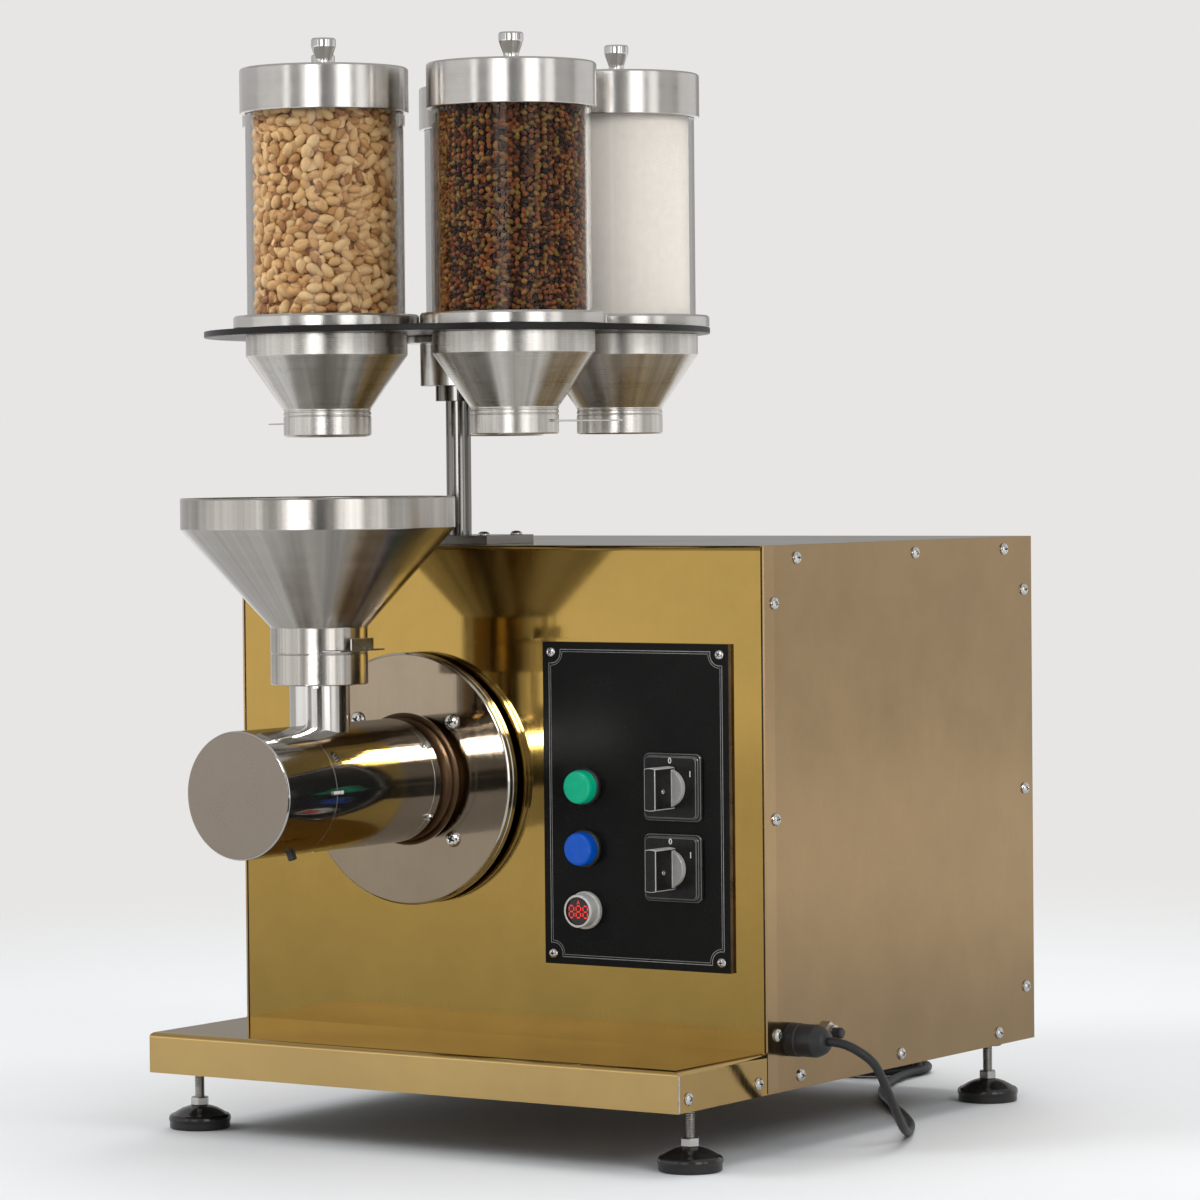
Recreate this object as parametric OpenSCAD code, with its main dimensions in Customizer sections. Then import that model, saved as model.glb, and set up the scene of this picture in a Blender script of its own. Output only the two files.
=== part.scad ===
// Electric nut-butter grinder with a turning carousel of ingredient containers.
// Millimetres, Z up, front towards -Y. The origin is at the middle of the footprint, on the floor.
// Inside the source x = 0 is the middle of the cabinet and y = 0 the face of its front panel.

/* [Cabinet] */
// Width over the two side covers
cab_w = 500; // [460:5:560]
// Depth from the front panel to the rear cover
cab_d = 420; // [400:5:480]
// Height from the lower edge of the tray to the top sheet
cab_h = 417; // [400:1:450]
// Thickness of the folded sheets
sheet = 1.5; // [1:0.5:2]
// Outer radius of the bend between front and top
bend_r = 4; // [3:1:7]
// Open seam between the front panel and a side cover
seam = 1.5; // [1:0.5:2.5]
// Leg of the corner angles of the welded frame
angle_leg = 25; // [22:1:32]
// Thickness of those angles
angle_t = 3; // [2:0.5:4]

/* [Base tray and feet] */
// How far the tray stands out in front of the panel
tray_out = 126; // [110:2:150]
// Height of the tray's lip
tray_lip = 32; // [28:1:38]
// Wall of the square tubes under the tray
rail_t = 2; // [1.5:0.5:3]
// Clear height between floor and tray
foot_clear = 48; // [46:1:60]
// Distance of the front feet behind the tray's front edge
foot_front = 42; // [34:1:60]
// Distance of the rear feet in front of the rear cover
foot_rear = 50; // [36:1:70]
// Diameter of a foot pad
pad_d = 50; // [44:1:60]
// Height of a foot pad
pad_h = 19; // [16:1:21]
// Diameter of the levelling stud
stud_d = 8; // [6:1:10]

/* [Control panel] */
// Width of the black control plate
plate_w = 171; // [165:1:190]
// Height of the control plate
plate_h = 251; // [240:1:270]
// Thickness of the control plate
plate_t = 4; // [3:0.5:6]
// Distance from the right side cover to the control plate
plate_right = 30; // [20:1:40]
// Height of the plate's middle above the tray's lower edge
plate_mid = 216.5; // [205:0.5:230]
// Diameter of the lamp holes, the common 22 mm size
lamp_hole = 22; // [20:0.5:24]
// Diameter of a lamp bezel
bezel_d = 29.4; // [28:0.2:32]
// How far a lamp stands out of the plate
lamp_out = 13; // [10:0.5:18]
// Spacing of the three lamps
lamp_step = 48; // [42:1:52]
// Distance of the lamps from the plate's left edge
lamp_in = 39; // [32:1:42]
// Side of a switch plate
switch_side = 52; // [46:1:56]
// Spacing of the two switches
switch_step = 62; // [58:1:70]
// Distance of the switches from the plate's right edge
switch_in = 50; // [44:1:54]
// How far a switch handle stands out of its plate
handle_out = 28; // [22:1:34]

/* [Grinding head] */
// Distance of the head's axis left of the cabinet's middle
head_left = 75; // [70:1:85]
// Height of the axis above the tray's lower edge
axis_h = 232; // [222:1:240]
// Diameter of the mounting flange
flange_d = 200; // [190:2:216]
// Thickness of the mounting flange
flange_t = 12; // [10:1:16]
// Thickness of the raised land behind the flange
land_t = 5; // [4:0.5:8]
// Bolt circle of the flange, as on a common motor face
flange_pcd = 130; // [128:1:134]
// Diameter of barrel and cap
barrel_d = 98; // [94:1:104]
// Diameter of the grinding bore
bore_d = 80; // [76:1:82]
// Length of the barrel in front of its collar
barrel_len = 127; // [120:1:140]
// Length of the adjuster cap
cap_len = 60; // [50:1:70]
// Distance of the feed neck in front of the flange
neck_off = 111; // [108:1:113]
// Outside diameter of the feed neck
neck_d = 47; // [44:0.5:52]
// Wall of the feed neck
neck_wall = 3; // [2:0.5:4]
// Height of the neck's top above the head's axis
neck_top = 100; // [94:1:106]

/* [Feed funnel] */
// Diameter of the funnel rim
rim_d = 212; // [190:2:216]
// Height of the rim band
rim_h = 24; // [16:1:30]
// Height of the cone
cone_h = 76; // [66:1:90]
// Wall of the funnel
funnel_wall = 4; // [3:0.5:5]
// Diameter of the collar under the cone
collar_d = 75.4; // [72:0.2:84]
// Height of the collar
collar_h = 44.5; // [42:0.5:52]
// How far the collar sits down over the neck
socket_h = 20; // [14:1:24]

/* [Carousel] */
// Diameter of the post
post_d = 20; // [18:1:25]
// Distance of the post behind the front panel
post_back = 60; // [50:1:90]
// Width of the post's base plate
base_w = 100; // [90:1:120]
// Depth of the base plate
base_d = 65; // [60:1:80]
// Thickness of the base plate
base_t = 7; // [5:0.5:10]
// Clear gap between the foot rings of two neighbouring containers
jar_gap = 6.82; // [4:0.01:14]
// Angle of the first container, seen from above
first_angle = -106.8; // [-120:0.1:-90]
// Clear height between the feed funnel and the hoppers
drop_gap = 47.5; // [44:0.5:70]
// Thickness of the carousel disc
disc_t = 5; // [4:0.5:8]
// Outside diameter of a container tube
tube_d = 124; // [118:1:126]
// Wall of a container tube
tube_wall = 4; // [3:0.5:5]
// Width of the ring round a tube's foot
ring_w = 11; // [8:0.5:14]
// Height of that ring
ring_h = 10; // [8:0.5:14]
// Height of the container from the disc to the top of its lid
jar_h = 203.5; // [180:0.5:220]
// Height of the lid
lid_h = 35; // [28:0.5:45]
// Wall of the lid's skirt
lid_wall = 4; // [3:0.25:5]
// Height of the lid's knob
knob_h = 24; // [18:1:30]
// How far the hopper's upper band stands out beyond the tube
band_over = 1.5; // [0.5:0.25:4]
// Height of that band
band_h = 16.5; // [12:0.5:20]
// Height of the hopper's cone
hopper_cone = 42; // [36:1:50]
// Diameter of the hopper's outlet neck
outlet_d = 69; // [64:1:72]
// Height of the outlet neck
outlet_h = 21; // [19:0.5:26]
// Wall of the hopper's band and cone
hopper_wall = 4; // [3:0.5:5]
// Thickness of the gate plates
gate_t = 1.2; // [1:0.1:2]
// How far a hopper gate stands out of its neck
gate_reach = 50; // [40:1:54]

/* [Power cord] */
// Diameter of the cord
cord_d = 7; // [6:0.5:8]
// Height of the cord's connector above the tray
gland_up = 7; // [7:1:20]
// Distance of the connector behind the front panel
gland_back = 33; // [33:1:40]
// Length of the connector outside the cover
gland_len = 34; // [30:1:44]
// Diameter of the connector
gland_d = 26; // [22:1:26]
// Distance of the overload button behind the connector
reset_back = 53; // [45:1:90]

/* [Hidden] */
$fn = 64;
// Running clearance on a radius, and the gap kept round covers and loose pieces
fit = 0.05;
gap = 0.3;
// How far a cutting shape runs past the face that it opens
past = 1;

tray_z = foot_clear + tray_lip;
cab_top = foot_clear + cab_h;
half_w = cab_w / 2;
inner_half = half_w - sheet;
front_half = inner_half - seam;
rail = tray_lip - sheet;
rail_corner = 2 * rail_t;
back_in = cab_d - sheet;

// Fasteners: shank, head and head height of the cover screws and of the flange bolts
screw_d = 5;
screw_head = 10;
screw_head_h = 3.2;
screw_taper = 0.72;
screw_len = 8;
bolt_d = 8;
bolt_head = 13;
bolt_head_h = 5;
plate_screw_d = 4;
plate_screw_head = 8;

// Places of the cover screws, measured from the edges of a side cover
row_in = 10;
column_in = 14;
row_end = 47;
row_shift = 18;
column_end = 44;
side_screws = [[row_end, cab_h - row_in], [cab_d / 2 + row_shift, cab_h - row_in],
    [cab_d - row_end, cab_h - row_in], [column_in, cab_h - column_end], [column_in, cab_h / 2],
    [column_in, column_end], [cab_d - column_in, cab_h - column_end], [cab_d - column_in, cab_h / 2],
    [cab_d - column_in, column_end], [row_end, row_in], [cab_d / 2 - row_in, row_in],
    [cab_d - row_end - column_in, row_in]];
tray_screws = [-tray_out + column_in, -column_in];
rear_screws_z = [column_end, cab_h / 2, cab_h - column_end];

// Feet
foot_x = inner_half - rail / 2;
foot_y = [-tray_out + foot_front, cab_d - foot_rear];
insert_d = stud_d + 15;
insert_t = 2;
insert_sleeve = stud_d + 3;
insert_up = 12;
stud_up = 14;
nut_h = 7;
nut_af = stud_d + 5;
// Foot pad: a lower rim, set back under the rounded edge of a dome
pad_rim_h = 6;
pad_rim_in = 0.8;
pad_edge = 4;
dome_r = 0.7 * pad_d;
edge_r = pad_d / 2 - pad_edge;
edge_z = pad_h - dome_r + sqrt(dome_r * dome_r - edge_r * edge_r) - pad_edge;

// Control plate, lamps and switches
plate_x = half_w - plate_right - plate_w / 2;
plate_z = foot_clear + plate_mid;
plate_screw_in = 8;
lamp_rise = 13.5;
lamp_x = plate_x - plate_w / 2 + lamp_in;
lamp_top_z = plate_z + lamp_rise;
lamp_body_len = 42;
lamp_nut_h = 6;
lamp_nut_d = lamp_hole + 6;
bezel_h = 4;
bezel_rim = 1.7;
lens_d = bezel_d - 2 * bezel_rim;
lens_edge = 2;
window_deep = 2;
window_rim = 2;
switch_rise = 15.5;
switch_x = plate_x + plate_w / 2 - switch_in;
switch_top_z = plate_z + switch_rise;
switch_plate_t = 6;
switch_rim = 2.5;
switch_corner = 5;
switch_body_side = 44;
switch_body_len = 52;
switch_shaft_d = 8;
knob_disc_d = 29;
knob_disc_h = 5;
handle_l = 33;
handle_w = 10;
knob_gap = 0.5;

// Grinding head, distances in front of the panel along the axis
head_x = -head_left;
axis_z = foot_clear + axis_h;
flange_front = land_t + flange_t;
hub_len = 5;
hub_fillet = 4;
groove_half = 7.5;
groove_deep = 5;
groove_r = (pow(groove_half, 2) + pow(groove_deep, 2)) / (2 * groove_deep);
ring_len = 8;
hub_end = flange_front + hub_len;
collar_start = hub_end + 2 * groove_half;
barrel_start = collar_start + ring_len;
barrel_end = barrel_start + barrel_len;
cap_end = barrel_end + cap_len;
land_edge = 10;
land_d = flange_pcd + 2 * land_edge;
tail_d = 72;
tail_in = 4;
tail_start = hub_end + tail_in;
bearing_d = 62;
bearing_w = 16;
bearing_bore = 30;
race_w = 3;
race_deep = 1;
seal_d = 47;
seal_w = 7;
seal_lip = 2;
end_wall = 8;
wall_front = tail_start + bearing_w + seal_w + end_wall;
coupling_d = 50;
coupling_room = 3;
coupling_bore = 24;
end_play = 2;
coupling_end = tail_start - end_play;
spigot_in = 20;
spigot_d = flange_pcd - spigot_in;
spigot_h = 3.5;
register_h = spigot_h - sheet + gap;
thread_deep = 3;
thread_d = bore_d + 2 * thread_deep;
thread_len = 12;
burr_play = 2;
burr_d = bore_d - 2 * burr_play;
burr_gap = 1;
burr_t = 10;
burr_groove = 3;
burr_grooves = 12;
burr_hole = 24;
burr_skew = 4;
stub_d = 20;
rotor_face = barrel_end - thread_len - burr_gap;
auger_end = rotor_face - burr_t;
auger_core = bearing_bore;
flight_play = 1.5;
flight_d = bore_d - 2 * flight_play;
flight_w = 9;
flight_turns = 2;
flight_steps = 40;
neck_y = -(flange_front + neck_off);
neck_z = axis_z + neck_top;
outlet_hole = 26;
outlet_back = 4;
outlet_at = rotor_face - outlet_back;
lock_screws = 8;
lock_screw_d = 5;
lock_screw_deep = 6;
lock_in = 8;
lock_at = barrel_start + lock_in;
slot_in = 8;
slot_at = barrel_end - slot_in;
slit_w = 3;
slit_len = 16;
slit_deep = 3;
slot_w = 6;
slot_len = 10;
slot_turn = 33;
pin_d = 5.2;
pin_out = 5.5;
pin_in = 18;
pin_turn = 21;
pin_at = barrel_end + pin_in;
cap_wall = 8;

// Motor
motor_face_d = flange_pcd + 30;
motor_core_d = 150;
motor_fin_h = 10;
motor_fins = 28;
motor_fin_w = 4;
shield_t = 24;
motor_len = 200;
cowl_len = 60;
cowl_d = 172;
cowl_holes = 6;
motor_foot_h = 90;
motor_foot_t = 10;
motor_foot_w = 170;
motor_foot_l = 130;
terminal_side = 70;
terminal_h = 34;
cradle_t = 4;
bolt_in = 15;
shaft_d = coupling_bore;
shaft_split = (spigot_h + coupling_end) / 2;

// Feed funnel
rim_z = neck_z - socket_h + collar_h + cone_h;
funnel_top = rim_z + rim_h;
collar_z = neck_z - socket_h;
throat_d = neck_d - 2 * neck_wall;
feed_slot_up = 6;
feed_slot_z = neck_z + feed_slot_up;
feed_lap = 8;
feed_half = throat_d / 2 + feed_lap;
feed_out = 4;
feed_tab = 10;
slot_h = gate_t + 2 * gap;

// Carousel
post_x = head_x;
jars = 5;
jar_angle = 360 / jars;
ring_d = tube_d + 2 * ring_w;
band_d = tube_d + 2 * band_over;
// Radius of the circle on which the containers stand
pitch_r = (ring_d + jar_gap) / (2 * sin(jar_angle / 2));
outlet_z = funnel_top + drop_gap;
cone_z = outlet_z + outlet_h;
band_z = cone_z + hopper_cone;
disc_z = band_z + band_h;
deck_z = disc_z + disc_t;
disc_d = 2 * pitch_r + ring_d;
jar_top = deck_z + jar_h;
lid_z = jar_top - lid_h;
lid_d = tube_d + 2 * gap + 2 * lid_wall;
lid_roof = 8;
tube_top = jar_top - lid_roof;
tube_ledge = 2;
hole_d = tube_d - 2 * tube_wall - 2 * tube_ledge;
knob_base_d = 15;
knob_base_h = 6;
knob_waist_d = 10.5;
knob_waist_h = 2;
knob_top_d = 19.5;
knob_rim_h = 4.5;
knob_edge = 1;
hub_d = 60;
hub_h = 40;
hub_flange_d = 90;
hub_flange_t = 6;
stop_h = 12;
stop_d = 36;
nut_d = 30;
gate_up = 9.5;
gate_z = outlet_z + gate_up;
gate_skin = 4;
gate_half = outlet_d / 2 - gate_skin;
gate_lap = 2.5;
outlet_bore = 2 * (gate_half - gate_lap);
groove_t = 1.2;
// Direction in which each gate pulls out, turned from the line between post and container
gate_turns = [-103, 90, 90, 0, -60];

// Fan in the rear cover
fan_side = 120;
fan_depth = 38;
fan_bore = 114;
fan_hub = 50;
fan_blades = 7;
fan_blade_tilt = 35;
fan_blade_t = 2;
fan_tip_gap = 2;
fan_end_gap = 1;
fan_front_gap = 5;
fan_x = 130;
fan_up = 200;
fan_z = foot_clear + fan_up;
fan_strut = 8;
fan_corner = 8;
grille_slots = 7;
grille_slot_w = 9;
louvres = 6;
louvre_len = 120;
louvre_w = 8;
louvre_step = 22;
louvre_x = head_x;
louvre_up = 130;
louvre_z = foot_clear + louvre_up;

// Overload switch and cord connector on the right cover
gland_z = tray_z + gland_up;
reset_y = gland_back + reset_back;
reset_bush_d = 12;
reset_nut_af = 15;
reset_nut_h = 4;
reset_bush_out = 8;
reset_button_d = 8.5;
reset_button_out = 7;
reset_body = [34, 22, 30];
reset_press = 3;
gland_thread = 20;
gland_nut_d = 28;
gland_nut_h = 6;
gland_ring = 10;
gland_step = 1;
gland_taper = 9;
gland_nose = 3;
gland_nose_d = 19;
gland_end_d = 12;

// Distance from the source's axes to the middle of the whole footprint, the cord left out
far_back = cab_d + screw_head_h;
far_front = max(cap_end, -neck_y + rim_d / 2);
right_out = half_w + reset_bush_out + reset_button_out;
left_out = max(half_w + screw_head_h, head_left + disc_d / 2);
origin_x = (right_out - left_out) / 2;
origin_y = (far_back - far_front) / 2;

// Route of the cord from the connector down to the floor and under the cabinet to the coil
cord_points = [[284.3, 33, 87], [289, 33, 87], [299, 34.8, 85], [309, 39.8, 79], [315, 47.2, 71],
    [316, 55, 62], [315.5, 64, 51.5], [314, 75, 40], [311, 88, 28.5], [306, 103, 18.5], [299, 121, 10.5],
    [290, 141, 5.5], [279, 163, 3.6], [266, 187, 3.5], [250, 211, 3.5], [231, 236, 3.5], [210, 262, 3.5],
    [188, 289, 3.5], [166, 317, 3.5], [146, 347, 3.5], [129, 379, 3.5], [116, 412, 3.6], [108, 445, 4.4],
    [106, 465, 5], [106, 475, 5]];
cord_steps = 2;
cord_sides = 8;
// Coil behind the cabinet: two layers of loops, wound in below and out again above
coil_x = 60;
coil_y = 482;
coil_z = 5;
coil_r = 46;
coil_step = 7.6;
coil_in = 810;
coil_out = 720;
coil_climb = 90;
coil_rings = 24;
coil_sides = 6;
coil_rise_turn = 270;
tie_t = 1;
tie_w = 12;
tie_at = 200;
tie_turns = 2;
tie_slack = 1;
plug_d = 37;
plug_body = 34;
plug_neck = 34;
plug_pin_d = 4.8;
plug_pin = 19;
plug_pin_gap = 19;
plug_neck_d = 16;
coil_rise = plug_d / 2 - coil_z - coil_step;

gold = "#b8924e";
steel = "#c9c7c2";
bright = "#d8d6d2";
black = "#1c1b1a";

// Sets a child, built upwards from z = 0, on the head's axis, pointing out of the panel
module on_axis(x = head_x, z = axis_z, y = 0) {
    translate([x, y, z]) rotate([90, 0, 0]) children();
}

// Pan-head screw along +Z, with the underside of its head at z = 0
module pan_screw(d, head, head_h, length) {
    translate([0, 0, -length]) cylinder(d = d, h = length + head_h / 2);
    cylinder(d1 = head, d2 = head * screw_taper, h = head_h);
}

// Straight hole along +Z through a sheet whose upper face is at z = 0
module screw_hole(d, deep) {
    translate([0, 0, -deep]) cylinder(d = d, h = deep + past);
}

module on_right(y, z) {
    translate([half_w, y, z]) rotate([0, 90, 0]) children();
}

module both_sides() {
    children();
    mirror([1, 0, 0]) children();
}

module at_side_screws() {
    for (p = side_screws) on_right(p[0], foot_clear + p[1]) children();
}

module at_tray_screws() {
    for (y = tray_screws) on_right(y, foot_clear + row_in) children();
}

module at_rear_screws() {
    for (z = rear_screws_z)
        translate([front_half - column_in, cab_d, foot_clear + z]) rotate([-90, 0, 0]) children();
}

module at_plate_screws() {
    for (x = [-1, 1], z = [-1, 1])
        on_axis(plate_x + x * (plate_w / 2 - plate_screw_in), plate_z + z * (plate_h / 2 - plate_screw_in))
            translate([0, 0, plate_t]) children();
}

module at_base_screws() {
    for (x = [-1, 1], y = [-1, 1])
        translate([post_x + x * (base_w / 2 - row_in), post_back + y * (base_d / 2 - row_in), 0])
            translate([0, 0, cab_top + base_t]) children();
}

module at_flange_bolts() {
    for (a = [45 : 90 : 315])
        on_axis() rotate(a) translate([flange_pcd / 2, 0, flange_front]) children();
}

module at_lamps() {
    for (i = [0 : 2]) on_axis(lamp_x, lamp_top_z - i * lamp_step) children();
}

module at_switches() {
    for (i = [0 : 1]) on_axis(switch_x, switch_top_z - i * switch_step) children();
}

module at_feet() {
    for (x = [-1, 1], y = foot_y) translate([x * foot_x, y, 0]) children();
}

module at_jar(i) {
    a = first_angle + i * jar_angle;
    translate([post_x + pitch_r * cos(a), post_back + pitch_r * sin(a), 0]) children();
}

module at_jars() {
    for (i = [0 : jars - 1]) at_jar(i) children();
}

module rounded_square(side, r) {
    square([side - 2 * r, side], center = true);
    square([side, side - 2 * r], center = true);
    for (x = [-1, 1], y = [-1, 1]) translate([x * (side / 2 - r), y * (side / 2 - r)]) circle(r);
}

// Square tube along +Y, standing on z = 0 and centred on x = 0
module rail_y(length) {
    translate([0, length, rail / 2]) rotate([90, 0, 0]) linear_extrude(length) difference() {
        rounded_square(rail, rail_corner);
        rounded_square(rail - 2 * rail_t, rail_corner - rail_t);
    }
}

// Square tube along +X from x = 0
module rail_x(length) {
    rotate([0, 0, -90]) translate([-rail / 2, 0, 0]) rail_y(length);
}

module angle_section() {
    square([angle_leg, angle_t]);
    square([angle_t, angle_leg]);
}

// Welded base of square tube and upper frame of angle iron, carrying every cover
module welded_frame() {
    rail_len = tray_out - bend_r + back_in;
    upright = cab_top - bend_r - tray_z + sheet;
    cross_len = 2 * (inner_half - rail);
    color("dimgray") difference() {
        union() {
            both_sides() {
                translate([foot_x, -tray_out + bend_r, foot_clear]) rail_y(rail_len);
                translate([inner_half, sheet, tray_z - sheet])
                    rotate(90) linear_extrude(upright) angle_section();
                translate([inner_half, back_in, tray_z - sheet])
                    rotate(180) linear_extrude(upright) angle_section();
                translate([inner_half, bend_r + sheet, cab_top - sheet])
                    rotate([-90, 90, 0]) linear_extrude(back_in - bend_r - sheet) angle_section();
            }
            for (y = [-tray_out + sheet, sheet + angle_leg, motor_foot_y() + motor_foot_l, back_in - rail])
                translate([-cross_len / 2, y, foot_clear]) rail_x(cross_len);
        }
        at_feet() translate([0, 0, foot_clear - past])
            cylinder(d = insert_sleeve + 2 * fit, h = insert_up + past);
        both_sides() {
            at_side_screws() screw_hole(screw_d + 2 * fit, screw_len + past);
            at_tray_screws() screw_hole(screw_d + 2 * fit, screw_len + past);
            at_rear_screws() screw_hole(screw_d + 2 * fit, screw_len + past);
        }
        gland_recess();
    }
}

// Room for the connector's nut behind the right cover
module gland_recess() {
    on_right(gland_back, gland_z) screw_hole(gland_nut_d + 2 * gap, sheet + gland_nut_h + past);
}

// Upright rectangle from the origin with its upper left corner rounded
module rounded_corner(w, h, r) {
    square([w, h - r]);
    translate([r, 0]) square([w - r, h]);
    translate([r, h - r]) circle(r);
}

// Block that fills the shelf of the tray up to a distance inside its outer faces
module shelf_block(inside) {
    r = bend_r - inside;
    wide = half_w - inside;
    deep = tray_out - inside - seam;
    intersection() {
        translate([-half_w, -tray_out + inside, foot_clear - inside]) rotate([90, 0, 90])
            linear_extrude(cab_w) rounded_corner(deep + inside, tray_lip, r);
        both_sides() translate([0, -seam + inside, foot_clear - inside]) rotate([90, 0, 0])
            linear_extrude(tray_out) translate([-wide, 0]) rounded_corner(wide + past, tray_lip, r);
    }
}

// Folded gold tray: a shelf with rounded lips in front, and the floor of the cabinet behind
module base_tray() {
    color(gold) difference() {
        union() {
            difference() {
                shelf_block(0);
                shelf_block(sheet);
            }
            translate([-inner_half, -seam - sheet, tray_z - sheet])
                cube([2 * inner_half, back_in + seam + sheet, sheet]);
        }
        both_sides() {
            at_tray_screws() screw_hole(screw_d + 2 * fit, screw_len);
            for (y = [sheet - gap, back_in - angle_leg - gap])
                translate([inner_half - angle_leg - gap, y, tray_z - sheet - past])
                    cube([angle_leg + 2 * gap, angle_leg + 2 * gap, sheet + 2 * past]);
        }
        translate([-sheet, 0, 0]) gland_recess();
    }
}

// Section through the sheet that is folded from the front panel over to the top
module folded_section() {
    translate([0, tray_z]) square([sheet, cab_top - bend_r - tray_z]);
    translate([bend_r, cab_top - sheet]) square([back_in - bend_r, sheet]);
    translate([bend_r, cab_top - bend_r]) intersection() {
        difference() {
            circle(bend_r);
            circle(bend_r - sheet);
        }
        translate([-bend_r, 0]) square(bend_r);
    }
}

module front_top_cover() {
    color(gold) difference() {
        translate([-front_half, 0, 0]) rotate([90, 0, 90]) linear_extrude(2 * front_half) folded_section();
        on_axis() screw_hole(spigot_d + 2 * gap, 2 * sheet);
        at_flange_bolts() screw_hole(bolt_d + 2 * gap, flange_front + 2 * sheet);
        at_lamps() screw_hole(lamp_hole + 2 * fit, 2 * sheet);
        at_switches() screw_hole(switch_shaft_d + 2 * gap, 2 * sheet);
        at_plate_screws() screw_hole(plate_screw_d + 2 * fit, plate_t + 2 * sheet);
        at_base_screws() screw_hole(screw_d + 2 * fit, base_t + 2 * sheet);
    }
}

module side_sheet() {
    difference() {
        translate([inner_half, 0, foot_clear]) cube([sheet, cab_d, cab_h]);
        at_side_screws() screw_hole(screw_d + 2 * fit, 2 * sheet);
    }
}

module left_cover() {
    color(gold) mirror([1, 0, 0]) side_sheet();
}

module right_cover() {
    color(gold) difference() {
        side_sheet();
        on_right(gland_back, gland_z) screw_hole(gland_thread + 2 * fit, 2 * sheet);
        on_right(reset_y, gland_z) screw_hole(reset_bush_d + 2 * fit, 2 * sheet);
    }
}

// Rear sheet with a round grille over the fan and a row of air slots behind the motor
module rear_cover() {
    slot_pitch = 2 * grille_slot_w;
    color(gold) difference() {
        translate([-front_half, back_in, foot_clear]) cube([2 * front_half, sheet, cab_h]);
        both_sides() at_rear_screws() screw_hole(screw_d + 2 * fit, 2 * sheet);
        translate([fan_x, cab_d + past, fan_z]) rotate([90, 0, 0]) intersection() {
            cylinder(d = fan_bore - fan_strut, h = sheet + 2 * past);
            for (i = [0 : grille_slots - 1])
                translate([-fan_bore / 2, (i - (grille_slots - 1) / 2) * slot_pitch - grille_slot_w / 2, 0])
                    cube([fan_bore, grille_slot_w, sheet + 2 * past]);
        }
        for (i = [0 : louvres - 1])
            translate([louvre_x - louvre_len / 2, back_in - past, louvre_z + i * louvre_step])
                cube([louvre_len, sheet + 2 * past, louvre_w]);
    }
}

// Screws of the covers, tray, control plate, post and flange, and the barrel's set screws
module screws() {
    color(bright) {
        both_sides() {
            at_side_screws() pan_screw(screw_d, screw_head, screw_head_h, screw_len);
            at_tray_screws() pan_screw(screw_d, screw_head, screw_head_h, screw_len);
            at_rear_screws() pan_screw(screw_d, screw_head, screw_head_h, screw_len);
        }
        at_plate_screws() pan_screw(plate_screw_d, plate_screw_head, screw_head_h, plate_t + sheet);
        at_base_screws() pan_screw(screw_d, screw_head, screw_head_h, base_t + 2 * sheet);
        at_flange_bolts() pan_screw(bolt_d, bolt_head, bolt_head_h, flange_front + sheet + bolt_in);
        at_lock_screws() cylinder(d = lock_screw_d, h = lock_screw_deep);
    }
}

// Threaded inserts in the rails, with a flange under them
module foot_inserts() {
    color(black) at_feet() difference() {
        union() {
            translate([0, 0, foot_clear - insert_t]) cylinder(d = insert_d, h = insert_t);
            translate([0, 0, foot_clear]) cylinder(d = insert_sleeve, h = insert_up);
        }
        translate([0, 0, foot_clear - insert_t - past])
            cylinder(d = stud_d + 2 * fit, h = insert_up + insert_t + 2 * past);
    }
}

// Levelling foot: a domed plastic pad moulded on the head of a threaded stud with its nut
module levelling_foot(x, y) {
    translate([x, y, 0]) {
        rotate_extrude() {
            square([pad_d / 2 - pad_rim_in, pad_rim_h]);
            intersection() {
                translate([0, pad_h - dome_r]) circle(dome_r);
                square([edge_r, pad_h]);
            }
            translate([edge_r, edge_z]) circle(pad_edge);
        }
        translate([0, 0, pad_h - past]) cylinder(d = nut_af / cos(30), h = nut_h, $fn = 6);
        translate([0, 0, pad_h - past]) cylinder(d = stud_d, h = foot_clear + stud_up - pad_h + past);
    }
}

module foot_front_left() {
    color(black) levelling_foot(-foot_x, foot_y[0]);
}

module foot_front_right() {
    color(black) levelling_foot(foot_x, foot_y[0]);
}

module foot_rear_left() {
    color(black) levelling_foot(-foot_x, foot_y[1]);
}

module foot_rear_right() {
    color(black) levelling_foot(foot_x, foot_y[1]);
}

module control_plate() {
    color(black) difference() {
        translate([plate_x - plate_w / 2, -plate_t, plate_z - plate_h / 2]) cube([plate_w, plate_t, plate_h]);
        at_lamps() translate([0, 0, plate_t]) screw_hole(lamp_hole + 2 * fit, 2 * plate_t);
        at_switches() translate([0, 0, plate_t]) screw_hole(switch_shaft_d + 2 * gap, 2 * plate_t);
        at_plate_screws() screw_hole(plate_screw_d + 2 * fit, 2 * plate_t);
    }
}

// Two lamp bodies and the ammeter's body: bezel in front, threaded barrel and nut behind
module lamp_bodies() {
    color("silver") at_lamps() difference() {
        union() {
            translate([0, 0, plate_t]) cylinder(d = bezel_d, h = bezel_h);
            translate([0, 0, -lamp_body_len]) cylinder(d = lamp_hole, h = lamp_body_len + plate_t);
            translate([0, 0, -sheet - lamp_nut_h]) cylinder(d = lamp_nut_d, h = lamp_nut_h);
        }
        translate([0, 0, plate_t + bezel_h / 2]) cylinder(d = lens_d, h = bezel_h);
    }
}

// Lens seated in its bezel, with a rounded front edge
module lens() {
    r = lens_d / 2 - fit;
    tall = lamp_out - bezel_h / 2;
    translate([0, 0, plate_t + bezel_h / 2]) rotate_extrude() {
        square([r, tall - lens_edge]);
        square([r - lens_edge, tall]);
        translate([r - lens_edge, tall - lens_edge]) circle(lens_edge);
    }
}

module start_lamp_lens() {
    color("seagreen") on_axis(lamp_x, lamp_top_z) lens();
}

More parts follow.
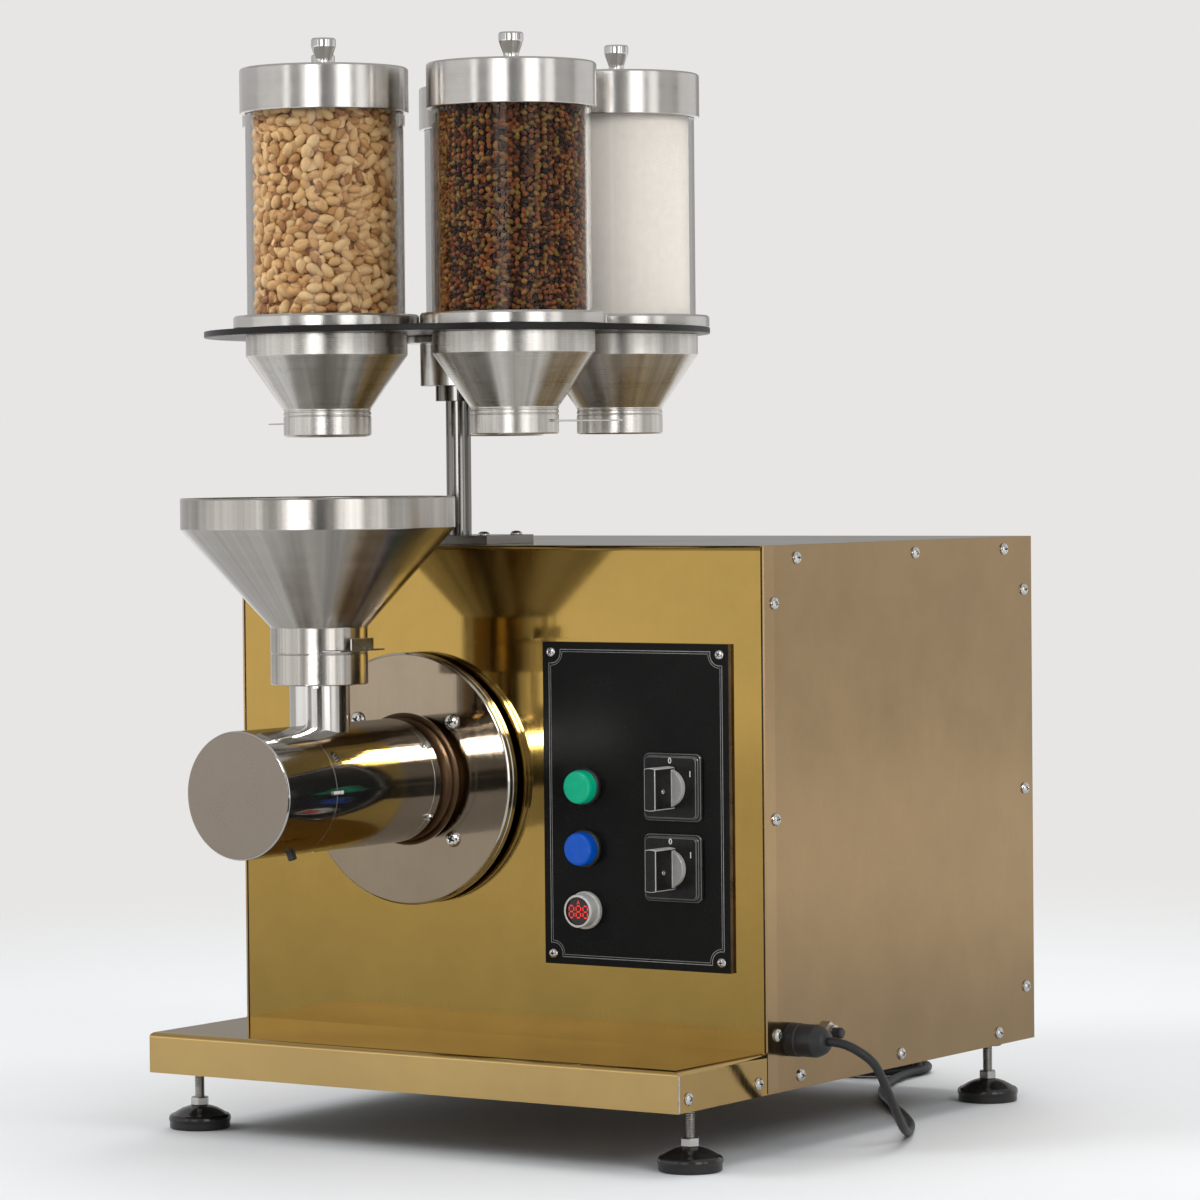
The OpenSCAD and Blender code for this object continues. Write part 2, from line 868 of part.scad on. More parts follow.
module fan_lamp_lens() {
    color("royalblue") on_axis(lamp_x, lamp_top_z - lamp_step) lens();
}

// Round digital ammeter: a raised rim with a recessed window
module ammeter_face() {
    color("whitesmoke") on_axis(lamp_x, lamp_top_z - 2 * lamp_step) difference() {
        lens();
        translate([0, 0, plate_t + lamp_out - window_deep])
            cylinder(d = lens_d - 2 * window_rim, h = 2 * window_deep);
    }
}

// Square front plates of the two cam switches, with a raised middle
module switch_plates() {
    color("dimgray") at_switches() translate([0, 0, plate_t]) difference() {
        union() {
            linear_extrude(switch_plate_t / 2) rounded_square(switch_side, switch_corner);
            linear_extrude(switch_plate_t)
                rounded_square(switch_side - 2 * switch_rim, switch_corner - switch_rim / 2);
        }
        translate([0, 0, -past]) cylinder(d = switch_shaft_d + 2 * fit, h = switch_plate_t + 2 * past);
    }
}

// Contact blocks of the cam switches behind the panel
module switch_bodies() {
    color(black) at_switches() difference() {
        translate([0, 0, -sheet - switch_body_len]) linear_extrude(switch_body_len)
            rounded_square(switch_body_side, switch_corner);
        translate([0, 0, -sheet - switch_body_len / 2])
            cylinder(d = switch_shaft_d + 2 * fit, h = switch_body_len);
    }
}

// Switch knob: round foot, flat bar handle and the shaft into the contact block
module switch_knob(z) {
    foot = plate_t + switch_plate_t + knob_gap;
    deep = sheet + switch_body_len / 2 - past;
    on_axis(switch_x, z) {
        translate([0, 0, foot]) cylinder(d = knob_disc_d, h = knob_disc_h);
        translate([0, 0, foot]) linear_extrude(handle_out) intersection() {
            circle(d = handle_l);
            square([handle_w, handle_l], center = true);
        }
        translate([0, 0, -deep]) cylinder(d = switch_shaft_d, h = deep + foot + past);
    }
}

module start_switch_knob() {
    color("lightgray") switch_knob(switch_top_z);
}

module fan_switch_knob() {
    color("lightgray") switch_knob(switch_top_z - switch_step);
}

// Ring that rounds off the corner between the flange's face and its hub
module hub_root() {
    edge = barrel_d / 2 + hub_fillet;
    rotate_extrude() difference() {
        translate([barrel_d / 2 - hub_fillet, -past]) square([2 * hub_fillet, hub_fillet + past]);
        translate([edge, hub_fillet]) circle(hub_fillet);
    }
}

// Turned flange of the grinding head with a grooved hub and the socket for the barrel
module mount_flange() {
    color(bright) difference() {
        on_axis() difference() {
            union() {
                cylinder(d = land_d, h = land_t);
                translate([0, 0, land_t]) cylinder(d = flange_d, h = flange_t, $fn = 128);
                cylinder(d = barrel_d, h = barrel_start);
                translate([0, 0, flange_front]) hub_root();
            }
            translate([0, 0, (hub_end + collar_start) / 2]) rotate_extrude()
                translate([barrel_d / 2 + groove_r - groove_deep, 0]) circle(groove_r);
            translate([0, 0, -past]) cylinder(d = spigot_d + 2 * fit, h = register_h + past);
            translate([0, 0, -past]) cylinder(d = coupling_d + 2 * coupling_room, h = tail_start + past);
            translate([0, 0, tail_start]) cylinder(d = tail_d + 2 * fit, h = barrel_start);
        }
        at_flange_bolts() screw_hole(bolt_d + 2 * fit, flange_front + past);
    }
}

module at_lock_screws() {
    for (i = [0 : lock_screws - 1])
        on_axis() translate([0, 0, lock_at]) rotate(i * 360 / lock_screws)
            translate([barrel_d / 2 - lock_screw_deep - fit, 0, 0]) rotate([0, 90, 0]) children();
}

// Rounded slot through the barrel wall, pointing out along +X
module wall_slot(length, width, deep) {
    rotate([0, 90, 0]) linear_extrude(deep) {
        square([width, length - width], center = true);
        for (s = [-1, 1]) translate([0, s * (length - width) / 2]) circle(d = width);
    }
}

// Axial slit that crosses the seam between barrel and cap
module seam_slit() {
    on_axis() translate([barrel_d / 2 - slit_deep, -slit_w / 2, barrel_end - slit_len / 2])
        cube([2 * slit_deep, slit_w, slit_len]);
}

// Grinding barrel with its welded feed neck, paste outlet, bearing seat and seal seat
module barrel() {
    seat = tail_start + bearing_w;
    color(bright) difference() {
        union() {
            on_axis() {
                translate([0, 0, tail_start]) cylinder(d = tail_d, h = barrel_start - tail_start + past);
                translate([0, 0, barrel_start]) cylinder(d = barrel_d, h = barrel_len);
            }
            translate([head_x, neck_y, axis_z]) cylinder(d = neck_d, h = neck_top);
        }
        on_axis() {
            translate([0, 0, wall_front]) cylinder(d = bore_d, h = barrel_end);
            translate([0, 0, barrel_end - thread_len])
                cylinder(d = thread_d + 2 * fit, h = thread_len + past);
            translate([0, 0, tail_start - past]) cylinder(d = bearing_d + 2 * fit, h = bearing_w + past);
            translate([0, 0, seat - past]) cylinder(d = seal_d + 2 * fit, h = seal_w + past);
            translate([0, 0, seat]) cylinder(d = auger_core + 2 * gap, h = barrel_len);
            translate([0, 0, slot_at]) rotate(slot_turn) translate([bore_d / 2, 0, 0])
                wall_slot(slot_len, slot_w, barrel_d / 2);
        }
        translate([head_x, neck_y, axis_z]) cylinder(d = throat_d, h = neck_top + past);
        translate([head_x, -outlet_at, axis_z - barrel_d]) cylinder(d = outlet_hole, h = barrel_d);
        at_lock_screws() cylinder(d = lock_screw_d + 2 * fit, h = barrel_d);
        seam_slit();
    }
}

// Adjuster cap: threaded into the barrel, it carries the fixed burr and sets the grinding gap
module adjuster_cap() {
    hollow = cap_end - cap_wall - barrel_end + thread_len - burr_t;
    color(steel) difference() {
        union() {
            on_axis() {
                translate([0, 0, barrel_end + gap]) cylinder(d = barrel_d, h = cap_len - gap, $fn = 128);
                translate([0, 0, barrel_end - thread_len]) cylinder(d = thread_d, h = thread_len + past);
            }
            translate([head_x, -pin_at, axis_z]) rotate([0, -pin_turn, 0])
                translate([0, 0, -barrel_d / 2 - pin_out]) cylinder(d = pin_d, h = pin_out + cap_wall);
        }
        on_axis() {
            translate([0, 0, barrel_end - thread_len - past])
                cylinder(d = burr_d + 2 * fit, h = burr_t + past);
            translate([0, 0, barrel_end - thread_len + burr_t - past])
                cylinder(d = burr_d - 2 * cap_wall, h = hollow + past);
        }
        seam_slit();
    }
}

// Burr ring on z = 0 with skewed grooves in its upper face
module burr(hole) {
    difference() {
        cylinder(d = burr_d, h = burr_t);
        translate([0, 0, -past]) cylinder(d = hole, h = burr_t + 2 * past);
        for (i = [0 : burr_grooves - 1])
            rotate(i * 360 / burr_grooves) translate([0, burr_skew, burr_t - burr_groove])
                cube([burr_d, burr_groove, burr_groove + past]);
    }
}

module fixed_burr() {
    color("gray") on_axis() translate([0, 0, barrel_end - thread_len + burr_t])
        mirror([0, 0, 1]) burr(burr_hole);
}

module rotating_burr() {
    color("gray") on_axis() translate([0, 0, auger_end]) burr(stub_d + 2 * fit);
}

// Feed screw: shaft through the bearing, core with a two-turn flight, stub for the burr
module auger() {
    flight_start = wall_front + end_play;
    flight_len = auger_end - flight_start - past;
    color(steel) on_axis() {
        translate([0, 0, shaft_split]) cylinder(d = coupling_bore, h = tail_start - shaft_split + past);
        translate([0, 0, tail_start]) cylinder(d = auger_core, h = auger_end - tail_start);
        translate([0, 0, auger_end - past]) cylinder(d = stub_d, h = burr_t + past);
        translate([0, 0, flight_start])
            linear_extrude(flight_len, twist = -360 * flight_turns, slices = flight_steps)
                translate([0, -flight_w / 2]) square([flight_d / 2, flight_w]);
    }
}

module shaft_bearing() {
    color(steel) on_axis() translate([0, 0, tail_start]) difference() {
        cylinder(d = bearing_d, h = bearing_w);
        translate([0, 0, -past]) cylinder(d = bearing_bore + 2 * fit, h = bearing_w + 2 * past);
        for (z = [-past, bearing_w - race_deep]) translate([0, 0, z]) difference() {
            cylinder(d = bearing_d - 2 * race_w, h = race_deep + past);
            cylinder(d = bearing_bore + 2 * race_w, h = race_deep + past);
        }
    }
}

module shaft_seal() {
    color(black) on_axis() translate([0, 0, tail_start + bearing_w]) difference() {
        cylinder(d = seal_d, h = seal_w);
        translate([0, 0, -past]) cylinder(d = auger_core + 2 * fit, h = seal_w + 2 * past);
        translate([0, 0, seal_w - seal_lip]) difference() {
            cylinder(d = seal_d - 2 * seal_lip, h = seal_lip + past);
            cylinder(d = auger_core + 2 * seal_lip, h = seal_lip + past);
        }
    }
}

// Sleeve that joins the motor's shaft to the feed screw
module shaft_coupling() {
    color(steel) on_axis() translate([0, 0, spigot_h]) difference() {
        cylinder(d = coupling_d, h = coupling_end - spigot_h);
        translate([0, 0, -past]) cylinder(d = coupling_bore + 2 * fit, h = coupling_end);
        translate([0, 0, (coupling_end - spigot_h) / 4]) rotate([0, 90, 0])
            cylinder(d = lock_screw_d, h = coupling_d);
    }
}

function motor_foot_y() = sheet + shield_t + (motor_len - motor_foot_l) / 2;

// Section of the ribbed motor housing
module ribbed_section() {
    circle(d = motor_core_d);
    for (i = [0 : motor_fins - 1]) rotate((i + 0.5) * 360 / motor_fins)
        translate([0, -motor_fin_w / 2]) square([motor_core_d / 2 + motor_fin_h, motor_fin_w]);
}

// Face-mounted motor: shields, ribbed housing, feet, terminal box and fan cowl
module motor_body() {
    foot_z = axis_z - motor_foot_h;
    body_end = sheet + shield_t + motor_len;
    color("slategray") difference() {
        union() {
            on_axis(y = sheet) mirror([0, 0, 1]) {
                cylinder(d = motor_face_d, h = shield_t);
                translate([0, 0, shield_t - past]) linear_extrude(motor_len + past) ribbed_section();
                translate([0, 0, shield_t + motor_len - past]) cylinder(d = cowl_d, h = cowl_len);
            }
            on_axis(y = sheet) cylinder(d = spigot_d, h = spigot_h);
            translate([head_x - motor_foot_w / 2, motor_foot_y(), foot_z])
                cube([motor_foot_w, motor_foot_l, motor_foot_t]);
            for (s = [-1, 1]) translate([head_x + s * motor_core_d / 4, motor_foot_y(), foot_z])
                cube([motor_foot_t, motor_foot_l, motor_foot_h - motor_core_d / 4]);
            translate([head_x - terminal_side / 2, motor_foot_y(), axis_z])
                cube([terminal_side, terminal_side, motor_core_d / 2 + terminal_h]);
        }
        on_axis(y = body_end + cowl_len) cylinder(d = shaft_d + 2 * fit, h = body_end + 2 * cowl_len);
        at_flange_bolts() screw_hole(bolt_d + 2 * fit, flange_front + sheet + bolt_in + past);
        for (i = [0 : cowl_holes - 1]) on_axis(y = body_end + cowl_len + past) rotate(i * 360 / cowl_holes)
            translate([cowl_d / 4, 0, 0]) cylinder(d = cowl_d / cowl_holes, h = cowl_len / 4);
    }
}

module motor_shaft() {
    length = sheet + shield_t + motor_len + cowl_len / 2;
    color(steel) on_axis(y = length) cylinder(d = shaft_d, h = length + shaft_split);
}

// Folded stand under the motor's feet
module motor_cradle() {
    top = axis_z - motor_foot_h;
    color("dimgray") translate([head_x - motor_foot_w / 2, motor_foot_y(), tray_z]) difference() {
        cube([motor_foot_w, motor_foot_l, top - tray_z]);
        translate([cradle_t, -past, cradle_t])
            cube([motor_foot_w - 2 * cradle_t, motor_foot_l + 2 * past, top - tray_z - 2 * cradle_t]);
    }
}

// Plan of a gate plate: round inner end, straight sides, pulled out along +X
module gate_plan(half, reach) {
    circle(half);
    translate([0, -half]) square([reach, 2 * half]);
}

// Turned funnel: rim band, cone, collar with the gate slot and the socket over the neck
module feed_funnel() {
    r = collar_d / 2;
    throat = throat_d / 2;
    socket = neck_d / 2 + gap;
    top = funnel_top - collar_z;
    band = rim_z - collar_z;
    color(steel) translate([head_x, neck_y, collar_z]) difference() {
        rotate_extrude($fn = 128) polygon([[socket, 0], [r, 0], [r, collar_h], [rim_d / 2, band],
            [rim_d / 2, top], [rim_d / 2 - funnel_wall, top], [rim_d / 2 - funnel_wall, band],
            [throat, collar_h - funnel_wall], [throat, socket_h], [socket, socket_h]]);
        translate([0, 0, feed_slot_z - collar_z - gap]) linear_extrude(slot_h)
            gate_plan(feed_half + gap, rim_d);
    }
}

// Gate plate of the feed funnel with its turned-up tab
module feed_gate() {
    reach = collar_d / 2 + feed_out;
    tab_w = feed_half;
    color(steel) translate([head_x, neck_y, feed_slot_z]) {
        linear_extrude(gate_t) gate_plan(feed_half, reach);
        translate([reach - gate_t, -tab_w / 2, 0]) cube([gate_t, tab_w, feed_tab]);
    }
}

// Axial fan behind the rear grille: square frame with struts to its hub
module fan_frame() {
    color(black) translate([fan_x, back_in, fan_z]) rotate([90, 0, 0]) {
        linear_extrude(fan_depth) difference() {
            rounded_square(fan_side, fan_corner);
            circle(d = fan_bore);
        }
        linear_extrude(fan_strut) {
            circle(d = fan_hub);
            for (a = [45, 135]) rotate(a) square([fan_bore + past, fan_strut], center = true);
        }
        cylinder(d = fan_strut, h = fan_depth / 2);
    }
}

module fan_rotor() {
    tip = fan_bore - 2 * fan_tip_gap;
    blade_h = fan_depth - fan_strut - fan_end_gap - fan_front_gap;
    fan_y = back_in - fan_strut - fan_end_gap;
    color("dimgray") translate([fan_x, fan_y, fan_z]) rotate([90, 0, 0]) difference() {
        union() {
            cylinder(d = fan_hub, h = blade_h);
            intersection() {
                cylinder(d = tip, h = blade_h);
                for (i = [0 : fan_blades - 1]) rotate(i * 360 / fan_blades)
                    translate([0, 0, blade_h / 2]) rotate([fan_blade_tilt, 0, 0])
                        translate([0, -fan_side, -fan_blade_t / 2]) cube([tip, 2 * fan_side, fan_blade_t]);
            }
        }
        translate([0, 0, -past]) cylinder(d = fan_strut + 2 * fit, h = blade_h + 2 * past);
    }
}

// Post with its welded base plate, stop ring under the hub and cap nut on top
module post() {
    stop_z = disc_z - hub_h - stop_h;
    color(bright) difference() {
        translate([post_x, post_back, 0]) {
            translate([-base_w / 2, -base_d / 2, cab_top]) cube([base_w, base_d, base_t]);
            translate([0, 0, cab_top]) cylinder(d = post_d, h = deck_z + stop_h - cab_top);
            translate([0, 0, stop_z]) cylinder(d = stop_d, h = stop_h);
            translate([0, 0, deck_z + gap]) cylinder(d = nut_d, h = stop_h, $fn = 6);
        }
        at_base_screws() screw_hole(screw_d + 2 * fit, 2 * base_t);
    }
}

module carousel_hub() {
    color(steel) translate([post_x, post_back, disc_z - hub_h]) difference() {
        union() {
            cylinder(d = hub_d, h = hub_h);
            translate([0, 0, hub_h - hub_flange_t]) cylinder(d = hub_flange_d, h = hub_flange_t);
        }
        translate([0, 0, -past]) cylinder(d = post_d + 2 * fit, h = hub_h + 2 * past);
    }
}

module carousel_disc() {
    color(black) difference() {
        translate([post_x, post_back, disc_z]) cylinder(d = disc_d, h = disc_t, $fn = 128);
        translate([post_x, post_back, disc_z - past]) cylinder(d = post_d + 2 * gap, h = disc_t + 2 * past);
        at_jars() translate([0, 0, disc_z - past]) cylinder(d = hole_d, h = disc_t + 2 * past);
    }
}

module container_rings() {
    color(steel) at_jars() translate([0, 0, deck_z]) difference() {
        cylinder(d = ring_d, h = ring_h);
        translate([0, 0, -past]) cylinder(d = tube_d + 2 * fit, h = ring_h + 2 * past);
    }
}

module container_tubes() {
    color([0.9, 0.93, 0.95, 0.35]) at_jars() translate([0, 0, deck_z]) difference() {
        cylinder(d = tube_d, h = tube_top - deck_z);
        translate([0, 0, -past]) cylinder(d = tube_d - 2 * tube_wall, h = jar_h);
    }
}

// Five turned hoppers under the disc: band, cone and outlet neck with the gate slot
module hoppers() {
    color(steel) for (i = [0 : jars - 1]) at_jar(i) hopper(first_angle + i * jar_angle + gate_turns[i]);
}

module hopper(gate_angle) {
    r = outlet_d / 2;
    b = band_d / 2;
    bore = outlet_bore / 2;
    step = outlet_h + hopper_cone;
    translate([0, 0, outlet_z]) difference() {
        rotate_extrude() polygon([[bore, 0], [r, 0], [r, outlet_h], [b, step], [b, step + band_h],
            [b - hopper_wall, step + band_h], [b - hopper_wall, step], [bore, outlet_h]]);
        rotate(gate_angle) translate([0, 0, gate_z - outlet_z - gap]) linear_extrude(slot_h)
            gate_plan(gate_half + gap, band_d);
        for (z = [outlet_h - 2 * groove_t, outlet_h - 5 * groove_t]) translate([0, 0, z]) difference() {
            cylinder(d = band_d, h = groove_t);
            cylinder(d = outlet_d - groove_t, h = groove_t);
        }
    }
}

// What the containers hold, as plain columns inside the tubes
module container_fills() {
    color("burlywood") at_jars() translate([0, 0, deck_z])
        cylinder(d = tube_d - 2 * tube_wall - 2 * gap, h = lid_z - deck_z);
}

// Lid with a skirt over the tube and a flared knob
module lid(i) {
    skirt = tube_d / 2 + gap;
    foot = knob_base_d / 2;
    waist = knob_waist_d / 2;
    top = knob_top_d / 2;
    color(steel) at_jar(i) {
        translate([0, 0, lid_z]) difference() {
            cylinder(d = lid_d, h = lid_h);
            translate([0, 0, -past]) cylinder(r = skirt, h = lid_h - lid_roof + past);
        }
        translate([0, 0, jar_top]) rotate_extrude() polygon([[0, -past], [foot, -past], [foot, knob_base_h],
            [waist, knob_base_h + knob_waist_h], [top, knob_h - knob_rim_h], [top, knob_h - knob_edge],
            [top - knob_edge, knob_h], [0, knob_h]]);
    }
}

module lid_1() { lid(0); }
module lid_2() { lid(1); }
module lid_3() { lid(2); }
module lid_4() { lid(3); }
module lid_5() { lid(4); }

// Gate plate of one hopper
module gate(i) {
    color(bright) at_jar(i) rotate(first_angle + i * jar_angle + gate_turns[i])
        translate([0, 0, gate_z]) linear_extrude(gate_t) {
            circle(gate_half);
            translate([0, -gate_half / 2]) square([outlet_d / 2 + gate_reach, gate_half]);
        }
}

module gate_1() { gate(0); }
module gate_2() { gate(1); }
module gate_3() { gate(2); }
module gate_4() { gate(3); }
module gate_5() { gate(4); }

// Thermal overload switch: case inside the cover, bush and nut through it
module overload_switch() {
    low = gland_z - tray_z - gap;
    color(steel) on_right(reset_y, gland_z) difference() {
        union() {
            translate([low - reset_body[1], -reset_body[2] / 2, -sheet - reset_body[0]])
                cube([reset_body[1], reset_body[2], reset_body[0]]);
            translate([0, 0, -sheet - past]) cylinder(d = reset_bush_d, h = sheet + past + reset_bush_out);
            cylinder(d = reset_nut_af / cos(30), h = reset_nut_h, $fn = 6);
        }
        translate([0, 0, -reset_bush_out - past])
            cylinder(d = reset_button_d + 2 * fit, h = 3 * reset_bush_out);
    }
}

module overload_button() {
    color(black) on_right(reset_y, gland_z) translate([0, 0, reset_press - reset_bush_out])
        cylinder(d = reset_button_d, h = 2 * reset_bush_out - reset_press + reset_button_out);
}

// Round cord connector on the right cover, narrowing to the cord, with its nut inside
module cable_gland() {
    r = gland_d / 2;
    color(black) on_right(gland_back, gland_z) {
        rotate_extrude() polygon([[0, 0], [r, 0], [r, gland_ring],
            [r - gland_step, gland_ring + gland_step], [r - gland_step, gland_len - gland_taper],
            [gland_nose_d / 2, gland_len - gland_nose], [gland_end_d / 2, gland_len], [0, gland_len]]);
        translate([0, 0, -sheet - gland_nut_h]) cylinder(d = gland_thread, h = gland_nut_h + sheet + past);
        translate([0, 0, -sheet - gland_nut_h]) cylinder(d = gland_nut_d, h = gland_nut_h);
    }
}

function unit(v) = v / norm(v);
function carried(n, t) = unit(n - (n * t) * t);
function tangents(p) = [for (i = [0 : len(p) - 1])
    unit(p[min(i + 1, len(p) - 1)] - p[max(i - 1, 0)])];
function normals(t, n, i = 0) = i == len(t) ? []
    : let (m = carried(n, t[i])) concat([m], normals(t, m, i + 1));

// Smooth curve through hand-picked points
function between(a, b, c, d, u) = 0.5 * (2 * b + (c - a) * u + (2 * a - 5 * b + 4 * c - d) * u * u
    + (3 * b - a - 3 * c + d) * u * u * u);
function smooth(p, steps) = concat([for (i = [0 : len(p) - 2], s = [0 : steps - 1])
    between(p[max(i - 1, 0)], p[i], p[i + 1], p[min(i + 2, len(p) - 1)], s / steps)], [p[len(p) - 1]]);

// Tube of a given radius swept along points, closed at both ends
module swept_tube(path, r, sides, side_hint) {
    t = tangents(path);
    n = normals(t, side_hint);
    rings = [for (i = [0 : len(path) - 1], j = [0 : sides - 1])
        let (a = 360 * j / sides) path[i] + r * (cos(a) * n[i] + sin(a) * cross(t[i], n[i]))];
    last = (len(path) - 1) * sides;
    walls = [for (i = [0 : len(path) - 2], j = [0 : sides - 1], h = [0, 1])
        let (k = (j + 1) % sides, b = i * sides)
        h == 0 ? [b + j, b + sides + j, b + sides + k] : [b + j, b + sides + k, b + k]];
    caps = [for (j = [1 : sides - 2], h = [0, 1]) h == 0 ? [0, j, j + 1] : [last, last + j + 1, last + j]];
    polyhedron(points = rings, faces = concat(walls, caps), convexity = 8);
}

module cord_run() {
    color(black) swept_tube(smooth(cord_points, cord_steps), cord_d / 2, cord_sides, [0, 0, 1]);
}

// Radius and height of the coil at a winding angle
coil_turn = coil_in + coil_out;
function coil_radius(a) = coil_r - coil_step * (a <= coil_in ? a : 2 * coil_in - a) / 360;
function coil_height(a) = coil_z + coil_step * max(0, min(1, (a - coil_in + coil_climb) / (2 * coil_climb)))
    + coil_rise * pow(max(0, (a - coil_turn + coil_rise_turn) / coil_rise_turn), 2);
function coil_point(a) = [coil_x + coil_radius(a) * cos(a), coil_y + coil_radius(a) * sin(a), coil_height(a)];
coil_path = [for (i = [0 : coil_turn * coil_rings / 360]) coil_point(i * 360 / coil_rings)];
coil_first = coil_path[0];
coil_last = coil_path[len(coil_path) - 1];
coil_lead = [0, -1, 0];
coil_away = [-1, 0, 0];
coil_end = coil_last + 2 * cord_d * coil_away;
coil_full = concat([coil_first + cord_d * coil_lead], coil_path,
    [coil_last + cord_d * coil_away, coil_end]);

// Least gap of the coil to itself, taken between points more than half a loop apart
coil_gap = min([for (i = [0 : len(coil_full) - 1], j = [i + coil_rings / 2 : 1 : len(coil_full) - 1])
    norm(coil_full[i] - coil_full[j])]) - cord_d;
echo(coil_gap = coil_gap);

// Coil of the spare cord, held by a flat tie
module cord_coil() {
    tie_from = coil_radius(tie_at + 360 * tie_turns) - cord_d / 2 - tie_slack;
    tie_to = coil_radius(tie_at) + cord_d / 2 + tie_slack;
    tie_low = coil_z - cord_d / 2 - gap;
    tie_high = coil_z + coil_step + cord_d / 2 + gap;
    color(black) {
        swept_tube(coil_full, cord_d / 2, coil_sides, [0, 0, 1]);
        translate([coil_x, coil_y, 0]) rotate(tie_at) difference() {
            translate([tie_from - tie_t, -tie_w / 2, tie_low - tie_t])
                cube([tie_to - tie_from + 2 * tie_t, tie_w, tie_high - tie_low + 2 * tie_t]);
            translate([tie_from, -tie_w, tie_low]) cube([tie_to - tie_from, 2 * tie_w, tie_high - tie_low]);
        }
    }
}

// Round plug with a tapered neck and two pins
module cord_plug() {
    color(black) translate(coil_end) rotate([0, -90, 0]) {
        rotate_extrude() polygon([[0, 0], [cord_d / 2 + past, 0], [plug_neck_d / 2, plug_neck],
            [plug_d / 2, plug_neck + past], [plug_d / 2, plug_neck + plug_body], [0, plug_neck + plug_body]]);
        for (y = [-1, 1]) translate([0, y * plug_pin_gap / 2, plug_neck + plug_body - past])
            cylinder(d = plug_pin_d, h = plug_pin + past);
    }
}

module placed() {
    translate([-origin_x, -origin_y, 0]) children();
}

placed() welded_frame();
placed() base_tray();
placed() front_top_cover();
placed() left_cover();
placed() right_cover();
placed() rear_cover();
placed() screws();
placed() foot_inserts();
placed() foot_front_left();
placed() foot_front_right();
placed() foot_rear_left();
placed() foot_rear_right();
placed() control_plate();
placed() lamp_bodies();
placed() start_lamp_lens();
placed() fan_lamp_lens();
placed() ammeter_face();
placed() switch_plates();
placed() switch_bodies();
placed() start_switch_knob();
placed() fan_switch_knob();
placed() mount_flange();
placed() barrel();
placed() adjuster_cap();
placed() fixed_burr();
placed() rotating_burr();
placed() auger();
placed() shaft_bearing();
placed() shaft_seal();
placed() shaft_coupling();
placed() motor_body();
placed() motor_shaft();
placed() motor_cradle();
placed() feed_funnel();
placed() feed_gate();
placed() fan_frame();
placed() fan_rotor();
placed() post();
placed() carousel_hub();
placed() carousel_disc();
placed() container_rings();
placed() container_tubes();
placed() hoppers();
placed() container_fills();
placed() lid_1();
placed() lid_2();
placed() lid_3();
placed() lid_4();
placed() lid_5();
placed() gate_1();
placed() gate_2();
placed() gate_3();
placed() gate_4();
placed() gate_5();
placed() overload_switch();
placed() overload_button();
placed() cable_gland();
placed() cord_run();
placed() cord_coil();
placed() cord_plug();
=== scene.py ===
import math

import bmesh
import bpy
from mathutils import Matrix, Vector


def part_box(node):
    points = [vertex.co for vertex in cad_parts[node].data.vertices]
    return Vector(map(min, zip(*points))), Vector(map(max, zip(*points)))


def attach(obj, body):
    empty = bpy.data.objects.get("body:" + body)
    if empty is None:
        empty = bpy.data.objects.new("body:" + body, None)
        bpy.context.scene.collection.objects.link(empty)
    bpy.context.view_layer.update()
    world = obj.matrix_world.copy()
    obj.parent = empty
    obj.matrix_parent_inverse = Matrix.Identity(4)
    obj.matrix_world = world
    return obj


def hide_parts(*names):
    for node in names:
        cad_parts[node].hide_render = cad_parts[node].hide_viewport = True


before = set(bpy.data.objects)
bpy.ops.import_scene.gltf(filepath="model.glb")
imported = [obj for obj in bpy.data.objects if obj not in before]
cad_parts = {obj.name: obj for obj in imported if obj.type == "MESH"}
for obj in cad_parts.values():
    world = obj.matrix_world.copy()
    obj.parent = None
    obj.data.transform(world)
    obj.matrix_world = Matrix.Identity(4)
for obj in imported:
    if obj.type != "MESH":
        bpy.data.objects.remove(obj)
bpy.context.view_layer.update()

# Electric nut-butter grinder with a carousel of containers. Metres, in the CAD frame; turned profiles and the
# sizes given to boxes and bevels are in millimetres.
scene = bpy.context.scene
scene.view_settings.view_transform = "Standard"
MM = 0.001

# Camera: right of the front at the height of the funnel, with a long lens, where the photographer stood.
CAMERA_AT = (2.1727, -3.1795, 0.5293)
CAMERA_RIGHT = (0.83104, 0.55611, -0.00951)
CAMERA_UP = (-0.00806, 0.02913, 0.99954)
CAMERA_BACK = (0.55614, -0.83059, 0.02869)


def new_piece(name, data):
    """An object in the scene that carries a mesh, a curve, a lamp or a camera."""
    piece = bpy.data.objects.new(name, data)
    scene.collection.objects.link(piece)
    return piece


optics = bpy.data.cameras.new("camera")
optics.lens = 143.95
optics.sensor_width = 36
camera = new_piece("camera", optics)
camera.matrix_world = (
    Matrix.Translation(CAMERA_AT) @ Matrix((CAMERA_RIGHT, CAMERA_UP, CAMERA_BACK)).transposed().to_4x4()
)
scene.camera = camera


